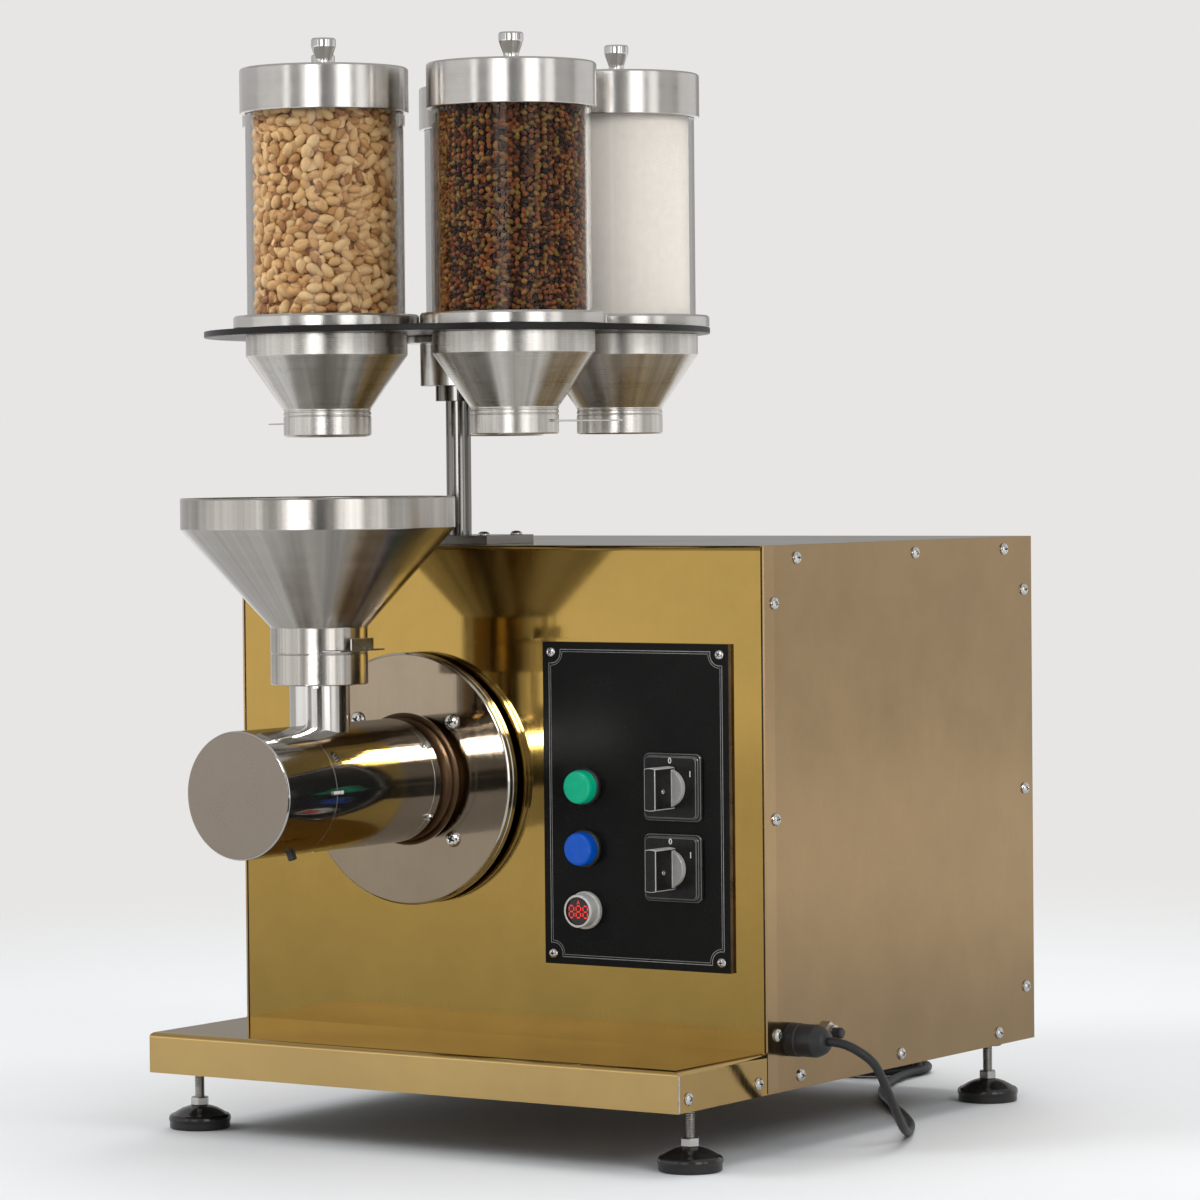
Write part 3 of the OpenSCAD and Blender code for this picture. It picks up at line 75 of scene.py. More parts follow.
# Power cord: a round black rubber lead, 7 mm thick. It leaves the connector on the right cover, drops to the
# floor and runs under the cabinet to a tied coil behind it, where the spare length is put away.
CORD_RADIUS = 0.0035
CORD_RUN = (
    (0.2908, -0.0616, 0.087), (0.2955, -0.0616, 0.087), (0.3055, -0.0598, 0.085), (0.3155, -0.0548, 0.079),
    (0.3215, -0.0474, 0.071), (0.3225, -0.0396, 0.062), (0.322, -0.0306, 0.0515), (0.3205, -0.0196, 0.04),
    (0.3175, -0.0066, 0.0285), (0.3125, 0.0084, 0.0185), (0.3055, 0.0264, 0.0105), (0.2965, 0.0464, 0.0055),
    (0.2855, 0.0684, 0.0036), (0.2725, 0.0924, 0.0035), (0.2565, 0.1164, 0.0035), (0.2375, 0.1414, 0.0035),
    (0.2165, 0.1674, 0.0035), (0.1945, 0.1944, 0.0035), (0.1725, 0.2224, 0.0035), (0.1525, 0.2524, 0.0035),
    (0.1355, 0.2844, 0.0035), (0.1225, 0.3174, 0.0036), (0.1145, 0.3504, 0.0044), (0.1125, 0.3704, 0.005),
    (0.1125, 0.3804, 0.005),
)
# The coil is wound in for COIL_IN degrees, then out again above it to COIL_ALL, and rises to the plug.
COIL_AT, COIL_LOW = (0.0665, 0.3874), 0.005
COIL_RADIUS, COIL_STEP = 0.046, 0.0076
COIL_IN, COIL_ALL = 810, 1530
COIL_RISE, COIL_LEAD = 0.0059, 0.014


def wire(node, **sockets):
    """Sets a node's inputs to values, or links them from sockets or nodes' first outputs. Inputs in0, in1
    go by number."""
    for key, value in sockets.items():
        socket = node.inputs[int(key[2:]) if key[2:].isdigit() else key.replace("_", " ")]
        source = value.outputs[0] if isinstance(value, bpy.types.Node) else value
        if isinstance(source, bpy.types.NodeSocket):
            node.id_data.links.new(source, socket)
        else:
            socket.default_value = source
    return node


def add(tree, kind, settings=None, **sockets):
    """A node in a shader or geometry tree; a kind without a family name is a shader node."""
    node = tree.nodes.new(kind if "Node" in kind else "ShaderNode" + kind)
    for key, value in (settings or {}).items():
        setattr(node, key, value)
    return wire(node, **sockets)


def reckon(tree, operation, *values):
    """A sum worked out on numbers or links."""
    return add(tree, "Math", {"operation": operation}, **{f"in{k}": value for k, value in enumerate(values)})


def remap(tree, value, low, high, to_low, to_high, kind="LINEAR"):
    """A number carried from one range to another and held inside it."""
    return add(tree, "MapRange", {"interpolation_type": kind}, Value=value, From_Min=low, From_Max=high,
               To_Min=to_low, To_Max=to_high)


def noise(tree, at, scale, detail, rough=0.5):
    """Cloudy noise at a place."""
    return add(tree, "TexNoise", Vector=at, Scale=scale, Detail=detail, Roughness=rough)


def toned(tree, colour, tone):
    """A colour made darker or lighter."""
    return add(tree, "VectorMath", {"operation": "SCALE"}, in0=colour, Scale=tone)


def object_place(tree):
    """The place on the object."""
    return add(tree, "TexCoord").outputs["Object"]


def new_material(name):
    """An empty node material with its Principled shader."""
    made = bpy.data.materials.new(name)
    made.use_nodes = True
    return made, made.node_tree, made.node_tree.nodes["Principled BSDF"]


def finish(name, colour, rough, metal=0.0, spread=0.1, cloud=14.0, grain=900.0, bump=0.05, **extra):
    """A worn surface: cloudy colour, uneven polish and a fine grain, all in object coordinates."""
    made, tree, shader = new_material(name)
    at = object_place(tree)
    clouds = noise(tree, at, cloud, 5.0, 0.6)
    fine = noise(tree, at, grain, 2.0)
    tone = remap(tree, clouds, 0.3, 0.7, 1 - spread, 1 + spread)
    dull = remap(tree, reckon(tree, "ADD", clouds, fine), 0.6, 1.4, rough * 0.7, rough * 1.3)
    relief = add(tree, "Bump", Height=fine, Strength=bump, Distance=0.0004)
    wire(shader, Base_Color=toned(tree, colour, tone), Roughness=dull, Normal=relief, Metallic=metal, **extra)
    return made


def stand_in(piece, body, slot, *nodes):
    """The piece moves with a body and stands for CAD nodes, which it hides; the slot is not used."""
    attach(piece, body)
    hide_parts(*nodes)
    return piece


def coil_point(angle):
    """Middle of the cord in the coil: wound in below, then out again above, and up to the plug at the end."""
    wound = angle if angle <= COIL_IN else 2 * COIL_IN - angle
    radius = COIL_RADIUS - COIL_STEP * wound / 360
    layer = COIL_STEP * min(1, max(0, (angle - COIL_IN + 90) / 180))
    rise = COIL_RISE * max(0, (angle - COIL_ALL + 270) / 270) ** 2
    turn = math.radians(angle)
    return Vector((COIL_AT[0] + radius * math.cos(turn), COIL_AT[1] + radius * math.sin(turn),
                   COIL_LOW + layer + rise))


cord_route = [Vector(p) for p in CORD_RUN] + [coil_point(a) for a in range(0, COIL_ALL + 1, 15)]
cord_end = cord_route[-1] + Vector((-COIL_LEAD, 0, 0))
cord_route += [cord_route[-1] + Vector((-COIL_LEAD / 2, 0, 0)), cord_end]
line = bpy.data.curves.new("power_cord", "CURVE")
line.dimensions = "3D"
line.bevel_depth = CORD_RADIUS
line.bevel_resolution = 5
line.resolution_u = 5
line.use_fill_caps = True
spline = line.splines.new("BEZIER")
spline.bezier_points.add(len(cord_route) - 1)
for knot, point in zip(spline.bezier_points, cord_route):
    knot.co = point
    knot.handle_left_type = knot.handle_right_type = "AUTO"
line.materials.append(finish("cord_rubber", (0.016, 0.016, 0.017), 0.42, spread=0.25, cloud=60.0, bump=0.25))
power_cord = new_piece("power_cord", line)
stand_in(power_cord, "root", "cord_sheath", "cord_run", "cord_coil")


# Plug, coil tie and cord connector: moulded black plastic and rubber. The plug's neck grips the cord's end,
# the tie goes round two loops of the coil, and the connector screws through the right cover.
black_plastic = finish("moulded_black", (0.02, 0.02, 0.021), 0.38, spread=0.2, cloud=40.0, bump=0.12)
X, Y, Z = Vector((1, 0, 0)), Vector((0, 1, 0)), Vector((0, 0, 1))
AXES = {"Z": (X, Y, Z), "-Y": (X, Z, -Y), "X": (Y, Z, X), "-X": (-Y, Z, -X)}


def rounded(profile, radius, arc=3):
    """A closed profile with its corners broken by small arcs, as a cutter or a mould leaves them."""
    points = []
    for i, (r, h) in enumerate(profile):
        before = Vector(profile[i - 1]) - Vector((r, h))
        after = Vector(profile[(i + 1) % len(profile)]) - Vector((r, h))
        room = min(radius, before.length * 0.4, after.length * 0.4)
        if r == 0 or before.length < 1e-6 or after.length < 1e-6 or before.angle(-after) < math.radians(12):
            points.append((r, h))
            continue
        start, end = before.normalized() * room, after.normalized() * room
        for k in range(arc + 1):
            t = k / arc
            shift = start * (1 - t) ** 2 + end * t ** 2
            points.append((r + shift.x, h + shift.y))
    return points


def settle(piece):
    """Applies a piece's modifiers to its mesh."""
    bpy.context.view_layer.update()
    graph = bpy.context.evaluated_depsgraph_get()
    mesh = bpy.data.meshes.new_from_object(piece.evaluated_get(graph))
    piece.modifiers.clear()
    piece.data = mesh
    return piece


def even_shading(piece, angle=35):
    """Smooth shading that breaks at sharp edges and leaves large faces flat."""
    piece.data.shade_smooth()
    piece.data.set_sharp_from_angle(angle=math.radians(angle))
    weigh = piece.modifiers.new("weigh", "WEIGHTED_NORMAL")
    weigh.keep_sharp = True
    weigh.weight = 90
    return settle(piece)


def shaped(name, shape, *materials):
    """A piece from a bmesh that is ready, with its materials."""
    mesh = bpy.data.meshes.new(name)
    shape.to_mesh(mesh)
    shape.free()
    for material in materials:
        mesh.materials.append(material)
    return new_piece(name, mesh)


def lathe(name, profile, at, axis, materials, steps=96, corner=0.3, pick=None):
    """A turned piece: a closed profile of (radius, height) in mm, spun round an axis through a point in
    metres. Its UV map runs along the profile, so that tool marks and highlights follow the turning."""
    across, beside, along = AXES[axis]
    points = rounded(profile, corner) if corner else profile
    shape = bmesh.new()
    turned_map = shape.loops.layers.uv.new("turned")
    rings, run, runs = [], 0.0, []
    for i, (r, h) in enumerate(points):
        runs.append(run)
        after = points[(i + 1) % len(points)]
        run += math.hypot(after[0] - r, after[1] - h) * MM
        ring = []
        for s in range(1 if r < 1e-6 else steps):
            turn = 2 * math.pi * s / steps
            out = across * math.cos(turn) + beside * math.sin(turn)
            ring.append(shape.verts.new(Vector(at) + (out * r + along * h) * MM))
        rings.append(ring)
    for i, ring in enumerate(rings):
        j = (i + 1) % len(rings)
        after = rings[j]
        if len(ring) == 1 and len(after) == 1:
            continue
        reach = runs[j] if j else run
        for s in range(steps):
            t = (s + 1) % steps
            corners = [(ring[s % len(ring)], runs[i], s), (ring[t % len(ring)], runs[i], s + 1),
                       (after[t % len(after)], reach, s + 1), (after[s % len(after)], reach, s)]
            if len(ring) == 1:
                corners.pop(1)
            elif len(after) == 1:
                corners.pop(2)
            face = shape.faces.new([c[0] for c in corners])
            for loop, (_, u, v) in zip(face.loops, corners):
                loop[turned_map].uv = (u, v / steps)
            if pick:
                face.material_index = pick(*((a + b) / 2 for a, b in zip(points[i], points[j])))
    bmesh.ops.recalc_face_normals(shape, faces=shape.faces)
    return even_shading(shaped(name, shape, *materials))


def middle_of(node):
    """Middle of a CAD node's box."""
    low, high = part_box(node)
    return (low + high) / 2


PLUG = [(0, 0), (4.5, 0), (5.4, 6), (4.9, 8), (5.8, 12), (5.3, 14), (6.3, 18), (5.8, 20), (7, 25), (7.6, 30),
        (9, 34), (17, 36), (18.5, 39), (18.5, 66), (17, 68), (0, 68)]
cord_plug = lathe("plug_moulding", PLUG, cord_end, "-X", [black_plastic], steps=64, corner=0.8)
stand_in(cord_plug, "root", "black_plastic", "cord_plug")
nickel = finish("nickel_pins", (0.72, 0.7, 0.66), 0.18, metal=1.0, cloud=90.0)
PIN = [(0, 66), (2.4, 66), (2.4, 85.6), (1.6, 87), (0, 87)]
for side, shift in (("a", -0.0095), ("b", 0.0095)):
    plug_pin = lathe(f"plug_pin_{side}", PIN, cord_end + Y * shift, "-X", [nickel], steps=24, corner=0.2)
    stand_in(plug_pin, "root", "polished_steel", "cord_plug")
gland_at = Vector((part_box("right_cover")[1].x, *middle_of("cable_gland").yz))
GLAND = [(0, -7.5), (14, -7.5), (14, -1.5), (10, -1.5), (10, 0), (13, 0), (13, 9), (12.2, 10), (12.2, 11.2),
         (12.6, 11.6), (12.6, 24), (11.6, 27), (9.5, 31), (7.6, 33), (5, 34), (3.4, 34), (0, 34)]
cable_gland = lathe("gland_moulding", GLAND, gland_at, "X", [black_plastic], steps=64, corner=0.6)
stand_in(cable_gland, "root", "black_plastic", "cable_gland")
TIE_STEPS, TIE_TURN = 32, math.radians(200)
TIE_OUT, TIE_UP, TIE_HALF_WIDE, TIE_HALF_TALL = 0.0336, 0.0088, 0.0133, 0.0078
tie_ring = []
for step in range(TIE_STEPS):
    turn = 2 * math.pi * step / TIE_STEPS
    wide = TIE_HALF_WIDE * max(-1, min(1, 1.25 * math.cos(turn)))
    tall = TIE_HALF_TALL * max(-1, min(1, 1.25 * math.sin(turn)))
    tie_ring.append((TIE_OUT + wide, TIE_UP + tall))
out_tie = Vector((math.cos(TIE_TURN), math.sin(TIE_TURN), 0))
across_tie = Vector((-out_tie.y, out_tie.x, 0))
tie_shape = bmesh.new()
rows = [[tie_shape.verts.new(Vector((*COIL_AT, z)) + out_tie * r + across_tie * side) for r, z in tie_ring]
        for side in (-0.006, -0.002, 0.002, 0.006)]
for low, high in zip(rows, rows[1:]):
    for i in range(TIE_STEPS):
        tie_shape.faces.new((low[i - 1], low[i], high[i], high[i - 1]))
bmesh.ops.recalc_face_normals(tie_shape, faces=tie_shape.faces)
cord_tie = shaped("cord_tie", tie_shape, black_plastic)
thick = cord_tie.modifiers.new("thick", "SOLIDIFY")
thick.thickness = 0.0008
thick.offset = 0
stand_in(even_shading(settle(cord_tie)), "root", "black_plastic", "cord_coil")


# Studio: a plain pale floor that fades into an even background, and wide soft lights. The metal mirrors cards
# of its own in place of the lights, as the room in front of the machine would show in it.
BACKDROP = (0.8, 0.79, 0.775)
NEAR_IN_METAL, FAR_IN_METAL, SKY_IN_METAL, OVERHEAD_IN_METAL = 0.66, 1.14, 0.42, 0.64
FADE_FROM, FADE_TO = 0.75, 2.5


def show(tree, shader):
    """Makes a shader the surface of a material."""
    wire(tree.nodes["Material Output"], Surface=shader)


floor_shape = bmesh.new()
bmesh.ops.create_circle(floor_shape, cap_ends=True, segments=96, radius=40)
paper, tree, shader = new_material("paper_floor")
at = object_place(tree)
far = add(tree, "VectorMath", {"operation": "LENGTH"}, in0=at).outputs["Value"]
fade = remap(tree, far, FADE_FROM, FADE_TO, 0.0, 1.0, "SMOOTHSTEP")
tone = remap(tree, noise(tree, at, 3.0, 3.0), 0.0, 1.0, 0.78, 0.82)
by_metal = add(tree, "LightPath").outputs["Is Glossy Ray"]
near = remap(tree, by_metal, 0.0, 1.0, 1.0, NEAR_IN_METAL)
distant = remap(tree, by_metal, 0.0, 1.0, 1.0, FAR_IN_METAL)
wire(shader, Base_Color=reckon(tree, "MULTIPLY", tone, near), Roughness=0.7)
glow = add(tree, "Emission", Color=(*BACKDROP, 1), Strength=distant)
show(tree, add(tree, "MixShader", in0=fade, in1=shader, in2=glow))
shaped("floor", floor_shape, paper)
world = bpy.data.worlds.new("studio")
world.use_nodes = True
scene.world = world
tree = world.node_tree
path = add(tree, "LightPath").outputs
seen = reckon(tree, "MAXIMUM", path["Is Camera Ray"], path["Is Glossy Ray"])
shown = reckon(tree, "MAXIMUM", seen, path["Is Transmission Ray"])
dome = add(tree, "Background", Color=(0.9, 0.95, 1.0, 1), Strength=0.5)
upward = add(tree, "SeparateXYZ", Vector=add(tree, "TexCoord").outputs["Generated"]).outputs["Z"]
mirrored = remap(tree, upward, 0.4, 0.75, SKY_IN_METAL, OVERHEAD_IN_METAL)
level = remap(tree, path["Is Glossy Ray"], 0.0, 1.0, 1.0, mirrored)
even = add(tree, "Background", Color=(*BACKDROP, 1), Strength=level)
wire(tree.nodes["World Output"], Surface=add(tree, "MixShader", in0=shown, in1=dome, in2=even))
LAMP_AIM = Vector((0, 0, 0.4))
for name, at, size, power in (
    ("key", (-1.9, -2.1, 2.3), 1.5, 48),
    ("fill", (2.6, -0.6, 1.9), 1.4, 25),
    ("top", (0.2, 0.3, 2.8), 1.8, 34),
    ("back", (-1.0, 2.6, 1.8), 1.4, 20),
):
    lamp = bpy.data.lights.new(name, "AREA")
    lamp.size = size
    lamp.energy = power
    light = new_piece(name, lamp)
    light.location = at
    light.rotation_euler = (LAMP_AIM - Vector(at)).to_track_quat("-Z", "Y").to_euler()
    light.visible_glossy = False
CAMERA_TURN = math.atan2(CAMERA_AT[0], -CAMERA_AT[1])
CARD_FAR, ZONE_CARD_FAR = 5.0, 4.9
CARD_ZONES = {"card_high_light": (0.18, 0.39), "card_lid_light": (0.358, 0.9)}


def round_about(turn, far):
    """A point on the floor at an angle from the camera, in degrees, and a distance from the middle."""
    away = CAMERA_TURN + math.radians(turn)
    return Vector((math.sin(away), -math.cos(away), 0)) * far


def mirrored_card(name, corners, light, skirt=1.0, zone=None):
    """A glowing card that only polished metal sees; its lower part is brighter or darker by the skirt. One
    with a zone shows only in pieces between two heights."""
    shape = bmesh.new()
    shape.faces.new([shape.verts.new(corner) for corner in corners])
    card_paint, tree, _ = new_material(name)
    at = object_place(tree)
    tone = remap(tree, noise(tree, at, 0.8, 2.0), 0.0, 1.0, light * 0.8, light * 1.2)
    height = add(tree, "SeparateXYZ", Vector=at).outputs["Z"]
    level = reckon(tree, "MULTIPLY", tone, remap(tree, height, 0.4, 0.8, skirt, 1.0))
    glow = add(tree, "Emission", Color=(0.99, 0.99, 1, 1), Strength=level)
    if zone:
        hit = add(tree, "NewGeometry").outputs
        back = add(tree, "VectorMath", {"operation": "MULTIPLY_ADD"}, in0=hit["Incoming"],
                   in1=add(tree, "LightPath").outputs["Ray Length"], in2=hit["Position"])
        source = add(tree, "SeparateXYZ", Vector=back).outputs["Z"]
        inside = reckon(tree, "COMPARE", source, sum(zone) / 2, (zone[1] - zone[0]) / 2)
        glow = add(tree, "MixShader", in0=inside, in1=add(tree, "BsdfTransparent"), in2=glow)
    show(tree, glow)
    card = shaped(name, shape, card_paint)
    card.visible_camera = card.visible_diffuse = card.visible_shadow = card.visible_transmission = False


for name, turn, width, low, tall, light, skirt in (
    ("card_far_left", -135, 70, 0.02, 2.8, 0.56, 1.0), ("card_wall_left", -77, 44, 0.02, 2.8, 0.64, 2.0),
    ("card_strip_left", -50, 8, 0.02, 2.8, 1.5, 1.0), ("card_gap_left", -36, 13, 0.02, 2.8, 0.42, 1.0),
    ("card_window_left", -20, 20, 0.02, 2.1, 1.2, 1.0), ("card_behind_camera", -1, 18, 0.02, 2.8, 0.36, 0.1),
    ("card_window_right", 27, 20, 0.02, 2.8, 2.1, 1.0), ("card_frame_right", 41, 6, 0.02, 2.8, 0.6, 1.0),
    ("card_strip_right", 52, 14, 0.02, 2.8, 1.35, 1.0), ("card_door_right", 74, 18, 0.02, 2.8, 0.5, 1.0),
    ("card_far_right", 120, 50, 0.02, 2.8, 0.72, 1.0), ("card_high_light", -14, 17, 2.2, 3.4, 40.0, 1.0),
    ("card_lid_light", -14, 17, 0.02, 1.3, 4.4, 1.0),
):
    zone = CARD_ZONES.get(name)
    far = ZONE_CARD_FAR if zone else CARD_FAR
    left, right = [round_about(turn + side * width / 2, far) for side in (-1, 1)]
    corners = [left + Z * low, right + Z * low, right + Z * tall, left + Z * tall]
    mirrored_card(name, corners, light, skirt, zone)
MAT_UP = 0.004
mirrored_card("mat_before_camera", [round_about(turn, far) + Z * MAT_UP for turn, far in (
    (-20, 0.95), (14, 0.95), (10, 4.9), (-12, 4.9))], 0.1, 0.4)


# Cabinet sheets: mirror-polished stainless steel with a gold coating, folded and screwed to the frame. The
# front and top are one folded sheet; two side covers, a rear cover and the base tray close it.
HEM, HEM_FADE, HEM_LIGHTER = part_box("right_cover")[0].y + 0.014, 0.0006, 1.12


def gold_sheet(name, colour, rough=0.07, hem=None):
    """Coated mirror sheet: faint waves, fine scratches, smeared polish, and a lighter hem in front of a Y."""
    made, tree, shader = new_material(name)
    at = object_place(tree)
    waves = noise(tree, at, 5.0, 1.0)
    smear = noise(tree, at, 16.0, 6.0, 0.65)
    scratch = noise(tree, add(tree, "Mapping", Vector=at, Scale=(900.0, 900.0, 24.0)), 1.0, 2.0)
    tone = remap(tree, smear, 0.3, 0.7, 0.93, 1.06)
    if hem is not None:
        depth = add(tree, "SeparateXYZ", Vector=at).outputs["Y"]
        tone = reckon(tree, "MULTIPLY", tone, remap(tree, depth, hem, hem + HEM_FADE, HEM_LIGHTER, 1.0))
    dull = remap(tree, reckon(tree, "MULTIPLY", smear, scratch), 0.1, 0.45, rough * 0.6, rough * 1.8)
    fine = add(tree, "Bump", Height=scratch, Strength=0.012, Distance=0.0005)
    relief = add(tree, "Bump", Height=waves, Strength=0.05, Distance=0.02, Normal=fine)
    wire(shader, Base_Color=toned(tree, colour, tone), Roughness=dull, Normal=relief, Metallic=1.0)
    return made


def break_edges(piece, width, segments=2):
    """Breaks a piece's sharp edges by a small bevel, in millimetres."""
    broken = piece.modifiers.new("broken", "BEVEL")
    broken.width = width * MM
    broken.segments = segments
    broken.limit_method = "ANGLE"
    broken.angle_limit = math.radians(40)
    return even_shading(settle(piece))


def dressed(node, width, *materials, segments=2):
    """A copy of a CAD solid with its sharp edges broken."""
    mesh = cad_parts[node].data.copy()
    shape = bmesh.new()
    shape.from_mesh(mesh)
    bmesh.ops.remove_doubles(shape, verts=shape.verts, dist=0.000002)
    bmesh.ops.dissolve_limit(shape, angle_limit=math.radians(0.6), verts=shape.verts, edges=shape.edges,
                             use_dissolve_boundaries=False)
    shape.to_mesh(mesh)
    shape.free()
    mesh.materials.clear()
    for material in materials:
        mesh.materials.append(material)
    mesh.polygons.foreach_set("material_index", [0] * len(mesh.polygons))
    return break_edges(new_piece(node + "_shell", mesh), width, segments)


def paint(piece, pick):
    """Gives each face of a piece the material whose number a function picks."""
    for face in piece.data.polygons:
        face.material_index = int(pick(face))
    return piece


def box_mesh(shape, low, high, at=(0, 0, 0)):
    """A box between two corners, in millimetres from a point in metres, added to a bmesh."""
    made = bmesh.ops.create_cube(shape, size=1)["verts"]
    for vert in made:
        spot = Vector([(l + h) / 2 + c * (h - l) for c, l, h in zip(vert.co, low, high)])
        vert.co = spot * MM + Vector(at)
    return made


gold_front = gold_sheet("gold_front", (0.36, 0.235, 0.064))
gold_side = gold_sheet("gold_side", (0.375, 0.258, 0.134), rough=0.12, hem=HEM)
gold_tray = gold_sheet("gold_tray", (0.5, 0.335, 0.125))
# The tray's front lip takes a lighter gold than the rest of the tray: a painted sheen on one sheet of one
# coating.
gold_lip_painted_sheen = gold_sheet("gold_lip_painted_sheen", (0.64, 0.44, 0.175))
for node, gold in (("front_top_cover", gold_front), ("left_cover", gold_side), ("right_cover", gold_side),
                   ("rear_cover", gold_side), ("base_tray", gold_tray)):
    sheet = dressed(node, 0.35, gold, gold_lip_painted_sheen)
    if node == "base_tray":
        # Faces towards the front take the lighter lip gold, the painted sheen.
        paint(sheet, lambda face: face.normal.y < -0.95)
    stand_in(sheet, "root", "gold_sheet", node)
bare_edge = finish("bare_edge", (0.66, 0.65, 0.64), 0.25, metal=1.0, spread=0.2, cloud=200.0)
tray_low, tray_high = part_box("base_tray")
edge_shape = bmesh.new()
for side, x in ((1, tray_high.x / MM), (-1, tray_low.x / MM)):
    reach = sorted((x - side * 0.4, x + side * 0.15))
    box_mesh(edge_shape, (reach[0], tray_low.y / MM + 0.5, tray_low.z / MM + 0.4),
             (reach[1], tray_low.y / MM + 2.6, tray_high.z / MM - 4))
tray_edges = break_edges(shaped("tray_edges", edge_shape, bare_edge), 0.1)
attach(tray_edges, "root")


# Welded frame of square tube and angle, and the threaded inserts in its rails: grey paint and black nylon.
# They show from below and through the rear grille only, so the CAD solids stay and take a finish.
def coat_node(material, *nodes):
    """CAD solids that show as they are take a material."""
    for node in nodes:
        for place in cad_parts[node].material_slots:
            place.link = "OBJECT"
            place.material = material


grey_paint = finish("grey_paint", (0.1, 0.1, 0.105), 0.5, cloud=22.0, grain=500.0, bump=0.3)
coat_node(grey_paint, "welded_frame", "motor_cradle")
coat_node(black_plastic, "foot_inserts")


# Levelling feet: a glossy black nylon pad with a domed top, moulded on a threaded steel stud with a hex nut.
# The stud turns in the insert of the rail above it.
foot_nylon = finish("foot_nylon", (0.014, 0.012, 0.011), 0.16, spread=0.3, cloud=70.0, bump=0.06,
                    Coat_Weight=0.3)
zinc = finish("zinc_plate", (0.62, 0.6, 0.57), 0.22, metal=1.0, spread=0.15, cloud=60.0, bump=0.1)
FOOT_PAD = [(0, 0), (23.4, 0), (24.2, 0.8), (24.2, 5.6), (24.6, 6.3), (25, 8), (24.5, 10), (23.2, 11.4),
            (21, 12.2), (18, 14), (14, 16.1), (10, 17.5), (5, 18.6), (0, 19)]
FOOT_NUT = [(0, 18.2), (6.9, 18.2), (7.5, 18.9), (7.5, 24.3), (6.9, 25), (0, 25)]
THREAD_PITCH, THREAD_DEPTH = 1.25, 0.55


def thread(radius, low, high):
    """The zigzag profile of a screw thread between two heights."""
    turns = int((high - low) / THREAD_PITCH)
    return [(radius - THREAD_DEPTH * (k % 2), low + THREAD_PITCH * k / 2) for k in range(2 * turns + 1)]


FOOT_STUD = [(0, 18), *thread(4, 18, 62), (0, 62)]
for foot in ("foot_front_left", "foot_front_right", "foot_rear_left", "foot_rear_right"):
    stands = Vector((*middle_of(foot).xy, 0))
    for part, profile, material, steps, corner, slot in (
        ("pad", FOOT_PAD, foot_nylon, 72, 0.5, "foot_plastic"),
        ("nut", FOOT_NUT, zinc, 6, 0.2, "polished_steel"),
        ("stud", FOOT_STUD, zinc, 32, 0, "polished_steel"),
    ):
        stand_in(lathe(f"{foot}_{part}", profile, stands, "Z", [material], steps, corner), foot, slot, foot)


# Screws: zinc-bright pan heads with a cross recess hold the covers, tray, control plate, post and flange, and
# eight headless set screws hold the barrel. One head of each kind is set out where the CAD has its screws.
bright_screw = finish("bright_screw", (0.74, 0.73, 0.71), 0.12, metal=1.0, spread=0.12, cloud=120.0)
# The cross recesses and the set screws' sockets take a near-black: painted shade in the recesses.
painted_shade_cut = finish("painted_shade_cut", (0.012, 0.011, 0.01), 0.6, spread=0.3, cloud=200.0)
PAN_HEAD = [(0, -1), (3, -1), (3, 0), (4.8, 0), (5, 0.3), (4.9, 0.9), (4.3, 1.9), (3.2, 2.7), (1.8, 3.1),
            (0, 3.2)]
SET_SCREW = [(0, -3.5), (2.45, -3.5), (2.45, -0.5), (2.1, -0.1), (1.3, -0.1), (1.2, -2), (0, -2.2)]
PAN_WIDE, PAN_TALL, BOLT_TALL, BOLT_LONG = 0.01, 0.0032, 0.005, 0.02
RIGHT_SCREWS, LEFT_SCREWS, REAR_SCREWS, TOP_SCREWS = 0.235, -0.225, 0.3, 0.46
BARREL_RADIUS, SET_SCREWS_WITHIN = 0.049, 0.055
SPIN_STEP = 2.4
head_axis = middle_of("mount_flange")


def cut(piece, fill):
    """Takes away from a piece the closed shapes that a function adds to a bmesh."""
    shape = bmesh.new()
    fill(shape)
    bmesh.ops.recalc_face_normals(shape, faces=shape.faces)
    tool = shaped("cutter", shape)
    part = piece.modifiers.new("part", "BOOLEAN")
    part.operation = "DIFFERENCE"
    part.solver = "EXACT"
    part.use_self = True
    part.object = tool
    settle(piece)
    bpy.data.objects.remove(tool)
    return even_shading(piece)


def islands(node):
    """The separate solids of a CAD node, each as its points."""
    shape = bmesh.new()
    shape.from_mesh(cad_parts[node].data)
    bmesh.ops.remove_doubles(shape, verts=shape.verts, dist=0.000002)
    left, found = set(shape.verts), []
    for first in shape.verts:
        if first not in left:
            continue
        left.remove(first)
        stack, group = [first], []
        while stack:
            vert = stack.pop()
            group.append(vert.co.copy())
            near = {edge.other_vert(vert) for edge in vert.link_edges} & left
            left -= near
            stack += near
        found.append(group)
    shape.free()
    return found


def node_group(name, **inputs):
    """A Geometry Nodes group with a geometry and more named inputs; gives the group and its inputs."""
    tree = bpy.data.node_groups.new(name, "GeometryNodeTree")
    for key, kind in {"Geometry": "Geometry", **inputs}.items():
        tree.interface.new_socket(key, in_out="INPUT", socket_type="NodeSocket" + kind)
    tree.interface.new_socket("Geometry", in_out="OUTPUT", socket_type="NodeSocketGeometry")
    return tree, add(tree, "NodeGroupInput").outputs


def run_nodes(piece, group, **inputs):
    """Runs a Geometry Nodes group on a piece with its named inputs and keeps the result."""
    nodes = piece.modifiers.new(group.name, "NODES")
    nodes.node_group = group
    sockets = {s.name: s.identifier for s in group.interface.items_tree if s.in_out == "INPUT"}
    for key, value in inputs.items():
        nodes[sockets[key]] = value
    return settle(piece)


